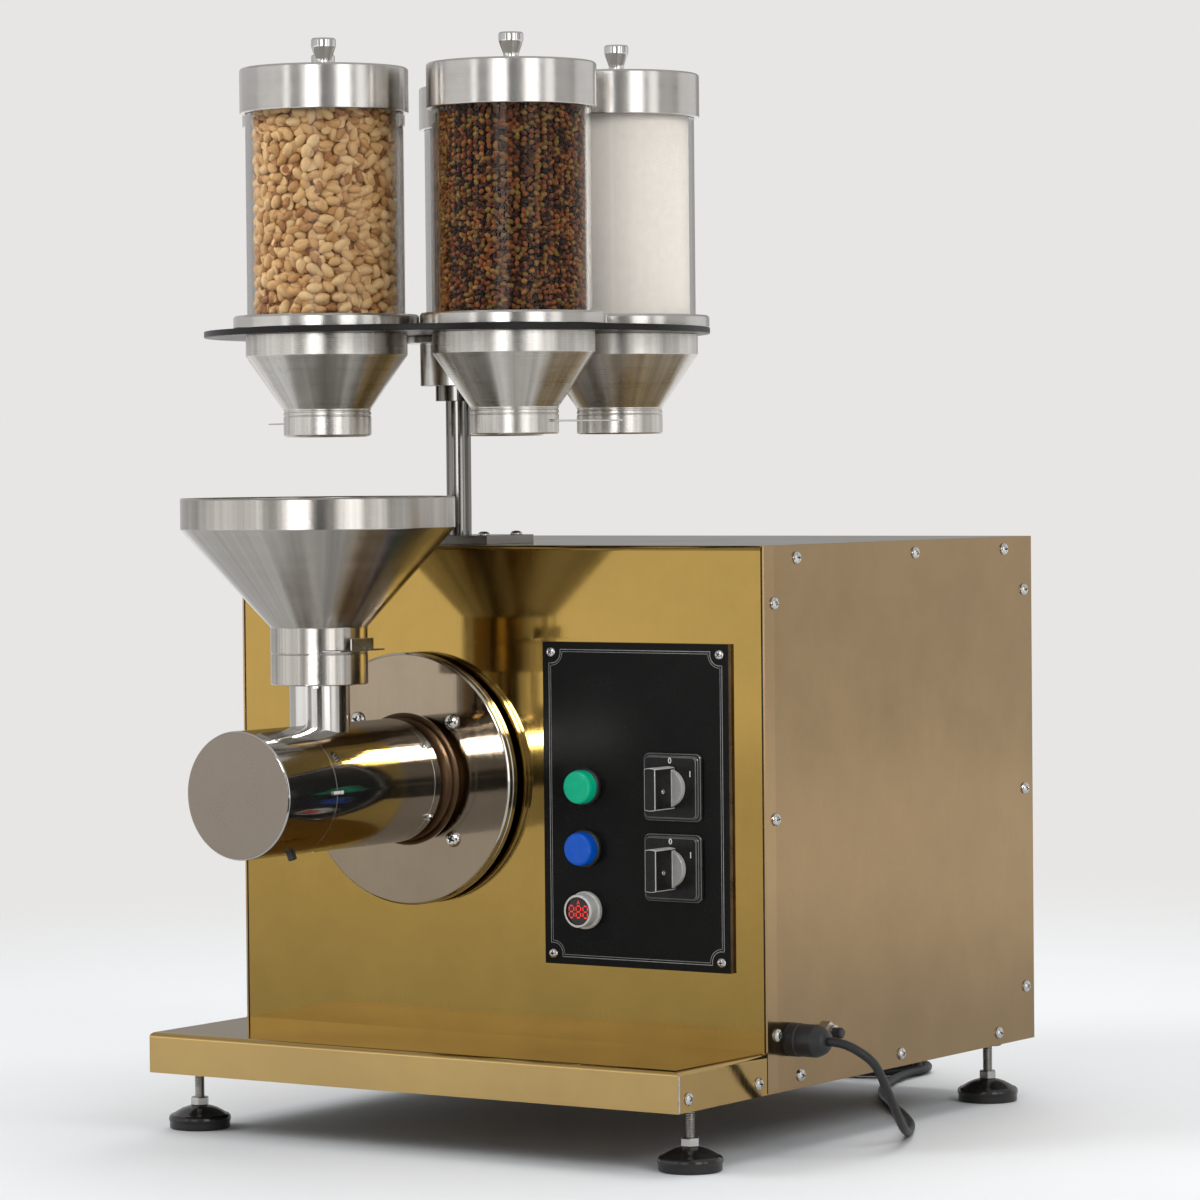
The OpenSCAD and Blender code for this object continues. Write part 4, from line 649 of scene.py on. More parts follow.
def set_out_tree():
    """Geometry Nodes that set a shape out on points, turned and scaled by the points' own attributes."""
    tree, given = node_group("set_out", Shape="Object")
    shape = add(tree, "GeometryNodeObjectInfo", Object=given["Shape"])
    turn = add(tree, "GeometryNodeInputNamedAttribute", {"data_type": "FLOAT_VECTOR"}, Name="turn")
    size = add(tree, "GeometryNodeInputNamedAttribute", {"data_type": "FLOAT"}, Name="size")
    aim = add(tree, "FunctionNodeEulerToRotation", Euler=turn.outputs["Attribute"])
    copies = add(tree, "GeometryNodeInstanceOnPoints", Points=given["Geometry"],
                 Instance=shape.outputs["Geometry"], Rotation=aim, Scale=size.outputs["Attribute"])
    wire(add(tree, "NodeGroupOutput"), in0=add(tree, "GeometryNodeRealizeInstances", Geometry=copies))
    return tree


set_out_nodes = set_out_tree()


def set_out(name, shape, places):
    """Copies of a shape in one piece: places are (point, Euler turn, size)."""
    materials = list(shape.data.materials)
    mesh = bpy.data.meshes.new(name)
    mesh.from_pydata([p[0] for p in places], [], [])
    turns = mesh.attributes.new("turn", "FLOAT_VECTOR", "POINT")
    turns.data.foreach_set("vector", [c for p in places for c in p[1]])
    mesh.attributes.new("size", "FLOAT", "POINT").data.foreach_set("value", [p[2] for p in places])
    piece = run_nodes(new_piece(name, mesh), set_out_nodes, Shape=shape)
    bpy.data.objects.remove(shape)
    slots = [face.material_index for face in piece.data.polygons]
    piece.data.materials.clear()
    for material in materials:
        piece.data.materials.append(material)
    piece.data.polygons.foreach_set("material_index", slots)
    return piece


def cross_recess(shape):
    """The tapering cross in a screw head."""
    for wide, deep in ((2.9, 0.65), (0.65, 2.9)):
        for vert in box_mesh(shape, (-wide, -deep, 1.4), (wide, deep, 4)):
            if vert.co.z < 0.002:
                vert.co.xy *= 0.62


heads, set_screws = [], []
for number, points in enumerate(islands("screws")):
    low = Vector([min(p[k] for p in points) for k in range(3)])
    high = Vector([max(p[k] for p in points) for k in range(3)])
    mid = (low + high) / 2
    out = Vector((mid.x - head_axis.x, 0, mid.z - head_axis.z))
    if out.length < SET_SCREWS_WITHIN:
        seat = Vector((head_axis.x, mid.y, head_axis.z)) + out.normalized() * BARREL_RADIUS
        set_screws.append((seat, tuple(out.to_track_quat("Z", "Y").to_euler()), 1.0))
        continue
    way = Vector((1, 0, 0) if mid.x > RIGHT_SCREWS else (-1, 0, 0) if mid.x < LEFT_SCREWS else
                 (0, 1, 0) if mid.y > REAR_SCREWS else (0, 0, 1) if mid.z > TOP_SCREWS else (0, -1, 0))
    tall = BOLT_TALL if way.y < 0 and high.y - low.y > BOLT_LONG else PAN_TALL
    seat = Vector([((h if w > 0 else l) - tall * w) if w else m for w, l, m, h in zip(way, low, mid, high)])
    spin = way.to_track_quat("Z", "Y") @ Matrix.Rotation(number * SPIN_STEP, 3, "Z").to_quaternion()
    across = max(size for size, w in zip(high - low, way) if not w)
    heads.append((seat, tuple(spin.to_euler()), across / PAN_WIDE))
pan_head = lathe("pan_head", PAN_HEAD, (0, 0, 0), "Z", [bright_screw, painted_shade_cut], steps=32, corner=0.2)
# The recess faces take the near-black painted shade.
paint(cut(pan_head, cross_recess), lambda face: face.material_index or (
    face.center.xy.length < 0.0031 and 0.0012 < face.center.z < 0.0026))
stand_in(set_out("pan_screws", pan_head, heads), "root", "polished_steel", "screws")
set_screw = lathe("set_screw", SET_SCREW, (0, 0, 0), "Z", [bright_screw, painted_shade_cut], steps=24, corner=0.15,
                  pick=lambda r, h: int(r < 1.35 and h > -2.4))
stand_in(set_out("set_screws", set_screw, set_screws), "root", "polished_steel", "screws")


# Control plate: black acrylic sheet on the front panel, its right cut edge painted warm brown as a painted
# reflection of the gold panel, with a thin double border line engraved and filled with silver, drawn in round
# its four corner screws. The face is otherwise bare.
acrylic = finish("black_acrylic", (0.007, 0.0068, 0.0064), 0.25, spread=0.2, cloud=30.0, bump=0.02,
                 Specular_IOR_Level=0.08)
silver_line = finish("silver_fill", (0.34, 0.33, 0.32), 0.45, spread=0.2, cloud=200.0)
plate_edge_painted_reflection = finish("plate_edge_painted_reflection", (0.1, 0.066, 0.04), 0.3, spread=0.3, cloud=60.0)
# The right-facing cut edge takes a warm brown: a painted reflection of the gold panel beside it.
control_plate = paint(dressed("control_plate", 0.4, acrylic, plate_edge_painted_reflection), lambda face: face.normal.x > 0.95)
stand_in(control_plate, "root", "black_plastic", "control_plate")
plate_low, plate_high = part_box("control_plate")
plate_mid = (plate_low + plate_high) / 2
PLATE_SCREW_IN, ON_FACE = 0.008, 0.00004


def border_loop(inset, notch):
    """A closed line inside the plate's edge that goes round each corner screw, as points across and up."""
    half = Vector(((plate_high.x - plate_low.x) / 2, (plate_high.z - plate_low.z) / 2))
    lean = math.asin((PLATE_SCREW_IN - inset) / notch)
    loop = []
    for right, up, start in ((1, 1, math.pi), (-1, 1, 1.5 * math.pi), (-1, -1, 0.0), (1, -1, 0.5 * math.pi)):
        middle = Vector((right * (half.x - PLATE_SCREW_IN), up * (half.y - PLATE_SCREW_IN)))
        for k in range(17):
            turn = start - lean + (math.pi / 2 + 2 * lean) * (1 - k / 16)
            loop.append(middle + notch * Vector((math.cos(turn), math.sin(turn))))
    return loop


border_shape = bmesh.new()
for inset, notch, width in ((0.0058, 0.0085, 0.0005), (0.0075, 0.0102, 0.00035)):
    loop = border_loop(inset, notch)
    edges = []
    for i, point in enumerate(loop):
        way = (loop[(i + 1) % len(loop)] - loop[i - 1]).normalized()
        side = Vector((-way.y, way.x)) * width / 2
        edges.append([border_shape.verts.new((plate_mid.x + q.x, plate_low.y - ON_FACE, plate_mid.z + q.y))
                      for q in (point - side, point + side)])
    for i, pair in enumerate(edges):
        border_shape.faces.new((edges[i - 1][0], edges[i - 1][1], pair[1], pair[0]))
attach(shaped("plate_border", border_shape, silver_line), "root")


# Lamps and ammeter: 22 mm panel units with a black bezel, white on the ammeter, and a nut behind the panel.
# The lenses are ribbed coloured plastic; the ammeter has a white rim and red digits in a dark window.
LENS_DARK_IN_REFLECTIONS = 0.7
LENS_RIBS = 72


def lens_plastic(name, colour, light):
    """Coloured lens with moulded ribs round its side and a faint glow of the diffuser inside. In polished
    metal it shows mostly as near-black: a painted dark reflection.
    """
    made = finish(name, colour, 0.24, spread=0.06, cloud=90.0, Emission_Color=(*light, 1),
                  Emission_Strength=0.2, Coat_Weight=0.15, Specular_IOR_Level=0.2)
    tree = made.node_tree
    shader = tree.nodes["Principled BSDF"]
    around = add(tree, "SeparateXYZ", Vector=add(tree, "UVMap", {"uv_map": "turned"})).outputs["Y"]
    ribs = reckon(tree, "SINE", reckon(tree, "MULTIPLY", around, 2 * math.pi * LENS_RIBS))
    wire(shader, Normal=add(tree, "Bump", Height=ribs, Strength=0.25, Distance=0.0003))
    # Seen in polished metal, a share of each lens shows as near-black: a painted dark reflection.
    in_metal = reckon(tree, "MULTIPLY", add(tree, "LightPath").outputs["Is Glossy Ray"], LENS_DARK_IN_REFLECTIONS)
    painted_dark_reflection = add(tree, "Emission", Color=(0.01, 0.01, 0.01, 1), Strength=1.0)
    show(tree, add(tree, "MixShader", in0=in_metal, in1=shader, in2=painted_dark_reflection))
    return made


green_lens = lens_plastic("green_lens", (0.001, 0.37, 0.2), (0.0, 0.5, 0.26))
blue_lens = lens_plastic("blue_lens", (0.001, 0.075, 0.45), (0.0, 0.1, 0.6))
meter_white = finish("meter_white", (0.68, 0.66, 0.62), 0.35, spread=0.06, cloud=80.0)
meter_window = finish("meter_window", (0.012, 0.006, 0.006), 0.12, spread=0.2, cloud=60.0, bump=0.0)
LAMP_BODY = [(0, -46), (11, -46), (11, -11.5), (14, -11.5), (14, -5.5), (11, -5.5), (11, 0), (14.7, 0),
             (14.7, 2.8), (13.7, 4), (13, 4), (13, 2), (0, 2)]
LENS = [(0, 2), (12.9, 2), (12.9, 10.4), (12.2, 12.2), (10.6, 12.9), (6, 13), (0, 13)]
METER = [(0, 2), (12.9, 2), (12.9, 12.2), (12.2, 13), (11.1, 13), (10.9, 12.6), (10.9, 11.2), (0, 11.2)]
lamp_spots = [Vector((spot.x, plate_low.y, spot.z))
              for spot in map(middle_of, ("start_lamp_lens", "fan_lamp_lens", "ammeter_face"))]
for number, spot in enumerate(lamp_spots):
    body = lathe(f"lamp_body_{number}", LAMP_BODY, spot, "-Y", [black_plastic, meter_white], steps=64,
                 pick=lambda r, h: int(number == 2 and h > 0.1))
    stand_in(body, "root", "lamp_metal", "lamp_bodies")
green_cap = lathe("green_cap", LENS, lamp_spots[0], "-Y", [green_lens], steps=72)
stand_in(green_cap, "root", "green_lens", "start_lamp_lens")
blue_cap = lathe("blue_cap", LENS, lamp_spots[1], "-Y", [blue_lens], steps=72)
stand_in(blue_cap, "root", "blue_lens", "fan_lamp_lens")
meter = lathe("meter_rim", METER, lamp_spots[2], "-Y", [meter_white, meter_window], steps=72,
              pick=lambda r, h: int(r < 10.95 and h > 9))
stand_in(meter, "root", "meter_white", "ammeter_face")
red_light = finish("red_light", (0.5, 0.01, 0.008), 0.3, spread=0.1, cloud=300.0,
                   Emission_Color=(1, 0.02, 0.012, 1), Emission_Strength=0.75)
SEGMENTS = (((0, 4), 0), ((2.1, 2), 1), ((2.1, -2), 1), ((0, -4), 0), ((-2.1, -2), 1), ((-2.1, 2), 1),
            ((0, 0), 0))
SEGMENT_TIPS = ((-1.5, 0), (-1.05, 0.5), (1.05, 0.5), (1.5, 0), (1.05, -0.5), (-1.05, -0.5))
DIGITS_AT, DIGITS_OUT, DIGITS_UP, DIGITS_TALLER = (-6.4, 0, 6.4), -11.35, -0.5, 1.15
digit_shape = bmesh.new()
for digit in DIGITS_AT:
    for (right, up), upright in SEGMENTS:
        tips = [tip[::-1] if upright else tip for tip in SEGMENT_TIPS]
        digit_shape.faces.new([
            digit_shape.verts.new(lamp_spots[2] + MM * Vector(
                (digit + right + x, DIGITS_OUT, DIGITS_TALLER * (up + z) + DIGITS_UP)))
            for x, z in tips
        ])
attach(shaped("meter_digits", digit_shape, red_light), "root")


def mark(name, text, at, tall, material, body):
    """A plain printed sign that lies flat on a face towards the front."""
    letters = bpy.data.curves.new(name, "FONT")
    letters.body = text
    letters.size = tall
    letters.align_x = letters.align_y = "CENTER"
    letters.offset = tall * 0.025
    sign = new_piece(name, letters)
    bpy.context.view_layer.update()
    mesh = bpy.data.meshes.new_from_object(sign.evaluated_get(bpy.context.evaluated_depsgraph_get()))
    bpy.data.objects.remove(sign)
    mesh.transform(Matrix.Translation(at) @ Matrix.Rotation(math.pi / 2, 4, "X"))
    mesh.materials.clear()
    mesh.materials.append(material)
    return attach(new_piece(name, mesh), body)


unit_at = lamp_spots[2] + Vector((0, DIGITS_OUT, 6.6)) * MM
mark("meter_unit", "A", unit_at, 0.004, red_light, "root")


# Cam switches: a square black plate with a raised middle in glossy bevels, which are painted a lighter grey
# as a painted highlight, marked 0 and 1, and a light grey knob with a bar handle whose flat sides and front
# are painted black as painted shade, with a small screw on one side. Its shaft turns in the block behind.
switch_black = finish("switch_black", (0.014, 0.0135, 0.013), 0.3, spread=0.3, cloud=45.0, grain=1500.0,
                      bump=0.15, Specular_IOR_Level=0.16)
switch_rim = finish("switch_rim", (0.12, 0.115, 0.11), 0.14, spread=0.2, cloud=45.0, Coat_Weight=0.6)
knob_grey = finish("knob_grey", (0.46, 0.44, 0.42), 0.36, spread=0.08, cloud=60.0, bump=0.08)
sign_white = finish("sign_white", (0.75, 0.74, 0.72), 0.5, spread=0.08, cloud=200.0)
switch_plates = dressed("switch_plates", 0.9, switch_black, switch_rim, segments=3)
# The bevel faces take the lighter rim grey: a painted highlight along the plate's raised edges.
paint(switch_plates, lambda face: max(abs(part) for part in face.normal) < 0.97)
stand_in(switch_plates, "root", "black_plastic", "switch_plates")
coat_node(black_plastic, "switch_bodies")
KNOB_SCREW = [(0, -0.5), (2, -0.5), (2, 0.15), (1.5, 0.4), (1.1, 0.1), (0, 0)]
HANDLE_DEEP, HANDLE_FLAT, SIGN_TALL = 0.0225, 0.00002, 0.0062
marked_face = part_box("switch_plates")[0].y - ON_FACE


def handle_painted_shade(face, front):
    """Tells the flat sides and the front of a knob's handle, which are painted black as painted shade, from
    its other faces.
    """
    flat = abs(face.normal.x) > 0.95 and face.center.y < front + HANDLE_DEEP and face.area > HANDLE_FLAT
    return flat or face.normal.y < -0.97 and face.center.y < front + 0.002


for node, body in (("start_switch_knob", "start_switch"), ("fan_switch_knob", "fan_switch")):
    middle, front = middle_of(node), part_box(node)[0].y
    knob = dressed(node, 0.8, knob_grey, switch_black, segments=3)
    # The handle's flat sides and front take black: painted shade on a light grey knob.
    paint(knob, lambda face: handle_painted_shade(face, front))
    stand_in(knob, body, "grey_plastic", node)
    side = Vector((middle.x + 0.005, front + 0.011, middle.z - 0.002))
    knob_screw = lathe(body + "_screw", KNOB_SCREW, side, "X", [zinc], steps=20, corner=0.1)
    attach(knob_screw, body)
    for sign, turn, reach in (("0", 0.0, 0.0205), ("1", math.radians(60.0), 0.0212)):
        at = Vector((middle.x + reach * math.sin(turn), marked_face, middle.z + reach * math.cos(turn)))
        mark(f"{body}_mark_{sign}", sign, at, SIGN_TALL, sign_white, "root")


# Grinding head: turned stainless steel. The flange is bolted to the panel, the polished barrel with its
# welded feed neck is clamped in it by set screws, and the satin adjuster cap screws into the barrel's end.
TOOL_MARKS = 2200.0


def turned(name, colour, rough, aniso=0.6, depth=0.12, spread=0.12, painted_streak=0.0):
    """Turned metal: tool marks run round the piece, and highlights fan out across them in streaks; lighter
    and darker streaks that follow the facing direction are also painted into the colour as painted highlight.
    """
    made, tree, shader = new_material(name)
    along = add(tree, "SeparateXYZ", Vector=add(tree, "UVMap", {"uv_map": "turned"})).outputs["X"]
    place = add(tree, "TexCoord").outputs
    painted_streaks = noise(tree, place["Normal"], 7.0, 4.0, 0.6)
    smear = noise(tree, place["Object"], 30.0, 5.0, 0.65)
    lines = {"noise_dimensions": "1D"}
    fine = add(tree, "TexNoise", lines, W=along, Scale=TOOL_MARKS, Detail=3.0, Roughness=0.7)
    bands = add(tree, "TexNoise", lines, W=along, Scale=110.0, Detail=2.0)
    total = reckon(tree, "ADD", reckon(tree, "MULTIPLY_ADD", bands, 0.35, fine), smear)
    tone = reckon(tree, "MULTIPLY", remap(tree, total, 0.8, 1.55, 1 - spread, 1 + spread),
                  remap(tree, painted_streaks, 0.35, 0.65, 1 - painted_streak, 1 + painted_streak))
    dull = remap(tree, total, 0.8, 1.55, rough * 0.75, rough * 1.3)
    relief = add(tree, "Bump", Height=fine, Strength=depth, Distance=0.0003)
    grain = add(tree, "Tangent", {"direction_type": "UV_MAP", "uv_map": "turned"})
    wire(shader, Base_Color=toned(tree, colour, tone), Roughness=dull, Normal=relief, Tangent=grain,
         Metallic=1.0, Anisotropic=aniso)
    return made


def hazed(made, colour, rough, share):
    """A polished metal that also scatters a share of the light more widely, as fine polishing marks do."""
    tree = made.node_tree
    wide = add(tree, "BsdfGlossy", Color=(*colour, 1), Roughness=rough)
    show(tree, add(tree, "MixShader", in0=share, in1=tree.nodes["Principled BSDF"], in2=wide))
    return made


mirror_steel = hazed(gold_sheet("mirror_steel", (0.6, 0.58, 0.55), rough=0.07), (0.5, 0.49, 0.47), 0.3, 0.12)
satin_face = gold_sheet("satin_face", (0.27, 0.217, 0.157), rough=0.07)
cap_satin = finish("cap_satin", (0.26, 0.222, 0.186), 0.3, metal=1.0, spread=0.06, cloud=30.0, grain=1800.0)
brown_groove_and_hub_shade = turned("brown_groove_and_hub_shade", (0.085, 0.05, 0.027), 0.34, aniso=0.3)
head_at = Vector((head_axis.x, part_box("front_top_cover")[0].y, head_axis.z))
GROOVE_ROUND = 8.125
GROOVE_HALF = math.asin(7.5 / GROOVE_ROUND)
GROOVE = [(52.125 - GROOVE_ROUND * math.cos(GROOVE_HALF * t / 8),
           29.5 + GROOVE_ROUND * math.sin(GROOVE_HALF * t / 8)) for t in range(-8, 9)]
HUB_FILLET = [(53 - 4 * math.sin(math.radians(a)), 21 - 4 * math.cos(math.radians(a)))
              for a in range(0, 91, 15)]
FLANGE = [(28, 2.3), (55, 2.3), (55, 0), (75, 0), (75, 5), (99, 5), (100, 6), (100, 10.4), (99.4, 10.8),
          (99.4, 11.4), (100, 11.8), (100, 15.6), (98.6, 17), *HUB_FILLET, *GROOVE, (49, 45), (36.05, 45),
          (36.05, 31), (28, 31)]
# The hub's fillet beside the groove takes the groove's dark brown too: painted shade that hides its bright
# ring.
flange = lathe("flange_disc", FLANGE, head_at, "-Y", [mirror_steel, satin_face, brown_groove_and_hub_shade], steps=160,
               corner=0.4, pick=lambda r, h: 2 if 17.1 < h < 36.6 and r > 40 else int(h > 16.8 and r > 52))
stand_in(flange, "root", "polished_steel", "mount_flange")
BARREL = [(36, 31), (36, 45), (49, 45), (49, 172), (43.05, 172), (43.05, 160), (40, 160), (40, 62),
          (15.3, 62), (15.3, 54), (23.5, 54), (23.5, 47), (31, 47), (31, 31)]
neck_at = Vector((*middle_of("feed_funnel").xy, head_axis.z))
neck_top = (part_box("barrel")[1].z - head_axis.z) / MM
OUTLET_AT, OUTLET_HOLE, SLOT_AT, SLOT_TURN, SLIT_AT = 155, 13, 164, math.radians(33), 172


def round_hole(shape, at, radius, deep, way):
    """A round cutter through a wall, in metres, with its length along a direction."""
    turn = Vector(way).to_track_quat("Z", "Y").to_matrix().to_4x4()
    bmesh.ops.create_cone(shape, cap_ends=True, segments=48, radius1=radius, radius2=radius, depth=deep,
                          matrix=Matrix.Translation(at) @ turn)


def slit_cutter(shape):
    """The narrow axial slit that crosses the seam between barrel and cap."""
    box_mesh(shape, (46, -SLIT_AT - 8, -1.5), (52, -SLIT_AT + 8, 1.5), head_at)


def barrel_cutter(shape):
    """Throat under the feed neck, paste outlet, slanted pin slot and half of the seam slit."""
    round_hole(shape, neck_at + Z * 0.045, 0.0205, 0.06, Z)
    round_hole(shape, head_at + Vector((0, -OUTLET_AT, -45)) * MM, OUTLET_HOLE * MM, 0.03, Z)
    out = Vector((math.cos(SLOT_TURN), 0, math.sin(SLOT_TURN)))
    tangent = Vector((-out.z, 0, out.x))
    for shift in (-2, 0, 2):
        spot = head_at + Vector((0, -SLOT_AT, 0)) * MM + out * 0.047 + tangent * shift * MM
        round_hole(shape, spot, 0.003, 0.02, out)
    slit_cutter(shape)


def paint_shade_in_cuts(piece, low, high):
    """Faces of the cuts through a round wall, between two places along the head, take near-black as painted
    shade.
    """
    def pick(face):
        spot = (face.center - head_at) / MM
        around = abs(Vector((spot.x, 0, spot.z)).normalized().dot(face.normal))
        inside = low < -spot.y < high and math.hypot(spot.x, spot.z) < 48.9
        return 1 if inside and around < 0.9 and abs(face.normal.y) < 0.98 else face.material_index

    return paint(piece, pick)


# The throat, outlet, pin slot and seam slit are near-black inside: painted shade.
barrel = lathe("barrel_tube", BARREL, head_at, "-Y", [mirror_steel, painted_shade_cut], steps=128, corner=0.5)
stand_in(paint_shade_in_cuts(cut(barrel, barrel_cutter), 140, 180), "root", "polished_steel", "barrel")
NECK = [(20.5, 41.5), (23.5, 41.5), (23.5, neck_top - 0.6), (22.9, neck_top), (21.1, neck_top),
        (20.5, neck_top - 0.6)]
neck = lathe("feed_neck", NECK, neck_at, "Z", [mirror_steel], steps=96, corner=0.2)
stand_in(neck, "root", "polished_steel", "barrel")
CAP = [(0, 232), (47.8, 232), (49, 230.9), (49, 172.3), (42.9, 172.3), (42.9, 160.6), (38.05, 160.6),
       (38.05, 170), (30, 170), (30, 224), (0, 224)]
cap = lathe("cap_body", CAP, head_at, "-Y", [mirror_steel, painted_shade_cut, cap_satin], steps=128, corner=0.35,
            pick=lambda r, h: 2 * int(h > 231.5 and r < 47.9))
stand_in(paint_shade_in_cuts(cut(cap, slit_cutter), 172, 182), "cap", "satin_steel", "adjuster_cap")
PIN_TURN, PIN_AT = math.radians(-21), Vector((0, -0.19, 0))
pin_shape = bmesh.new()
box_mesh(pin_shape, (-2.6, -2.6, -54.5), (2.6, 2.6, -45.5))
cap_pin = shaped("cap_pin", pin_shape, black_plastic)
cap_pin.data.transform(Matrix.Translation(head_at + PIN_AT) @ Matrix.Rotation(PIN_TURN, 4, "Y"))
stand_in(break_edges(cap_pin, 0.6), "cap", "black_plastic", "adjuster_cap")
ground_steel = finish("ground_steel", (0.5, 0.49, 0.47), 0.3, metal=1.0, spread=0.15, cloud=40.0, bump=0.15)
for node, body in (("fixed_burr", "cap"), ("rotating_burr", "rotor"), ("auger", "rotor")):
    stand_in(dressed(node, 0.25, ground_steel), body, "satin_steel", node)
motor_casting = finish("motor_casting", (0.13, 0.15, 0.17), 0.55, spread=0.12, cloud=25.0, grain=350.0,
                       bump=0.4)
coat_node(ground_steel, "shaft_bearing", "shaft_coupling", "motor_shaft")
coat_node(black_plastic, "shaft_seal")
coat_node(motor_casting, "motor_body")


# Feed funnel: turned aluminium with a straight rim band, a cone and a collar that sits over the feed neck. A
# thin steel gate with a turned-up tab slides in the collar's slot.
turned_alu = turned("turned_alu", (0.66, 0.636, 0.602), 0.2, aniso=0.9, depth=0.08, spread=0.07)
# The funnel and hoppers take painted highlight streaks in their colour.
funnel_alu = turned("funnel_alu", (0.5, 0.473, 0.436), 0.2, aniso=0.9, depth=0.08, spread=0.08, painted_streak=0.22)
hopper_alu = turned("hopper_alu", (0.69, 0.662, 0.62), 0.3, aniso=0.8, depth=0.1, spread=0.1, painted_streak=0.18)
funnel_at = Vector((*neck_at.xy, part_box("feed_funnel")[0].z))
FUNNEL = [(23.8, 0), (37, 0), (37.7, 0.7), (37.7, 23.6), (37.3, 24), (37.3, 24.5), (37.7, 24.9), (37.7, 44.5),
          (106, 120.5), (106, 143.4), (105.4, 144.5), (102.6, 144.5), (102, 143.6), (102, 120.5),
          (20.5, 40.5), (20.5, 20), (23.8, 20)]
GATE_BELOW, GATE_ABOVE, GATE_LONG = 0.3, 1.5, 60
funnel = lathe("funnel_body", FUNNEL, funnel_at, "Z", [funnel_alu], steps=160, corner=0.5)
slot_up = (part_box("feed_gate")[0].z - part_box("feed_funnel")[0].z) / MM


def gate_slot(half, up, at=(0, 0, 0)):
    """A cutter for the slot of a gate, out along +X."""
    return lambda shape: box_mesh(shape, (0, -half, up - GATE_BELOW), (GATE_LONG, half, up + GATE_ABOVE), at)


stand_in(cut(funnel, gate_slot(28.8, slot_up, funnel_at)), "funnel", "turned_aluminium", "feed_funnel")
gate_steel = finish("gate_steel", (0.66, 0.64, 0.61), 0.2, metal=1.0, spread=0.12, cloud=50.0)
stand_in(dressed("feed_gate", 0.3, gate_steel), "feed_gate", "satin_steel", "feed_gate")


# Post: a polished steel rod welded to a base plate on the cabinet's top, with a stop ring and a nut. The
# carousel's turned hub runs on it and carries a dark disc with the containers.
post_steel = gold_sheet("post_steel", (0.2, 0.19, 0.177), rough=0.08)
stand_in(dressed("post", 0.5, post_steel), "root", "polished_steel", "post")
stand_in(dressed("carousel_hub", 0.6, gate_steel), "carousel", "turned_aluminium", "carousel_hub")
disc_dark = finish("disc_dark", (0.014, 0.013, 0.012), 0.32, spread=0.25, cloud=30.0, bump=0.05,
                   Specular_IOR_Level=0.16)
stand_in(dressed("carousel_disc", 0.6, disc_dark), "carousel", "black_plastic", "carousel_disc")


# Containers: five clear acrylic tubes in turned foot rings on the disc, with turned hoppers under it. Each
# hopper has a band, a cone, a grooved neck and a slot with a thin gate plate.
jars = [Vector((*middle_of(f"lid_{i}").xy, 0)) for i in range(1, 6)]
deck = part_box("container_rings")[0].z
on_deck = [(jar + Z * deck, (0.0, 0.0, 0.0), 1.0) for jar in jars]
RING = [(62.1, 0), (72.4, 0), (73, 0.6), (73, 8.4), (71.6, 10), (62.8, 10), (62.1, 9.3)]
ring = lathe("foot_ring", RING, (0, 0, 0), "Z", [turned_alu], steps=128)
stand_in(set_out("foot_rings", ring, on_deck), "carousel", "turned_aluminium", "container_rings")
acrylic_clear, tree, shader = new_material("clear_acrylic")
rub = remap(tree, noise(tree, object_place(tree), 60.0, 4.0), 0.35, 0.75, 0.0, 0.05)
wire(shader, Roughness=rub, Base_Color=(0.985, 0.985, 0.98, 1), Transmission_Weight=1.0, IOR=1.2,
     Specular_IOR_Level=0.25)
TUBE_TALL = (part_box("container_tubes")[1].z - deck) / MM - 0.5
TUBE = [(58, 0), (62, 0), (62, TUBE_TALL), (58, TUBE_TALL)]
tube = lathe("tube", TUBE, (0, 0, 0), "Z", [acrylic_clear], steps=128, corner=0.3)
tubes = set_out("clear_tubes", tube, on_deck)
tubes.visible_shadow = False
stand_in(tubes, "carousel", "clear_tube", "container_tubes")
hoppers_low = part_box("hoppers")[0].z
HOPPER = [(28, 0), (33.8, 0), (34.5, 0.7), (34.5, 15), (33.9, 15.2), (33.9, 16), (34.5, 16.2), (34.5, 18.4),
          (33.9, 18.6), (33.9, 19.6), (34.5, 19.8), (34.5, 21), (63.5, 63), (63.5, 79.5), (59.5, 79.5),
          (59.5, 63), (28, 21)]
gate_up = (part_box("gate_1")[0].z - hoppers_low) / MM
hopper = lathe("hopper", HOPPER, (0, 0, 0), "Z", [hopper_alu], steps=128, corner=0.4)
hopper_spots = []
for number, jar in enumerate(jars, start=1):
    gate = f"gate_{number}"
    away = middle_of(gate) - jar
    hopper_spots.append((jar + Z * hoppers_low, (0.0, 0.0, math.atan2(away.y, away.x)), 1.0))
    stand_in(dressed(gate, 0.25, gate_steel), gate, "polished_steel", gate)
hopper_set = set_out("hopper_set", cut(hopper, gate_slot(30.8, gate_up)), hopper_spots)
stand_in(hopper_set, "carousel", "turned_aluminium", "hoppers")


# Lids: turned aluminium caps that sit over the tubes, with a bright flared knob screwed on top. They lift off
# one by one.
chrome = gold_sheet("chrome_knob", (0.74, 0.73, 0.71), rough=0.05)
LID = [(0, 832), (62.3, 832), (62.3, 805), (65.8, 805), (66.3, 805.6), (66.3, 838.6), (65, 840), (12, 840),
       (0, 840)]
KNOB = [(0, 839), (7.2, 839), (7.2, 841), (6.2, 842.4), (6, 845), (6.4, 848), (8.6, 854), (9.6, 857),
        (9.75, 858.4), (9.75, 862.8), (8.75, 864), (0, 864)]
for number, jar in enumerate(jars, start=1):
    node = f"lid_{number}"
    lid = lathe(f"lid_cap_{number}", LID, jar, "Z", [turned_alu], steps=128, corner=0.4)
    stand_in(lid, node, "turned_aluminium", node)
    knob = lathe(f"lid_knob_{number}", KNOB, jar, "Z", [chrome], steps=48, corner=0.4)
    stand_in(knob, node, "polished_steel", node)


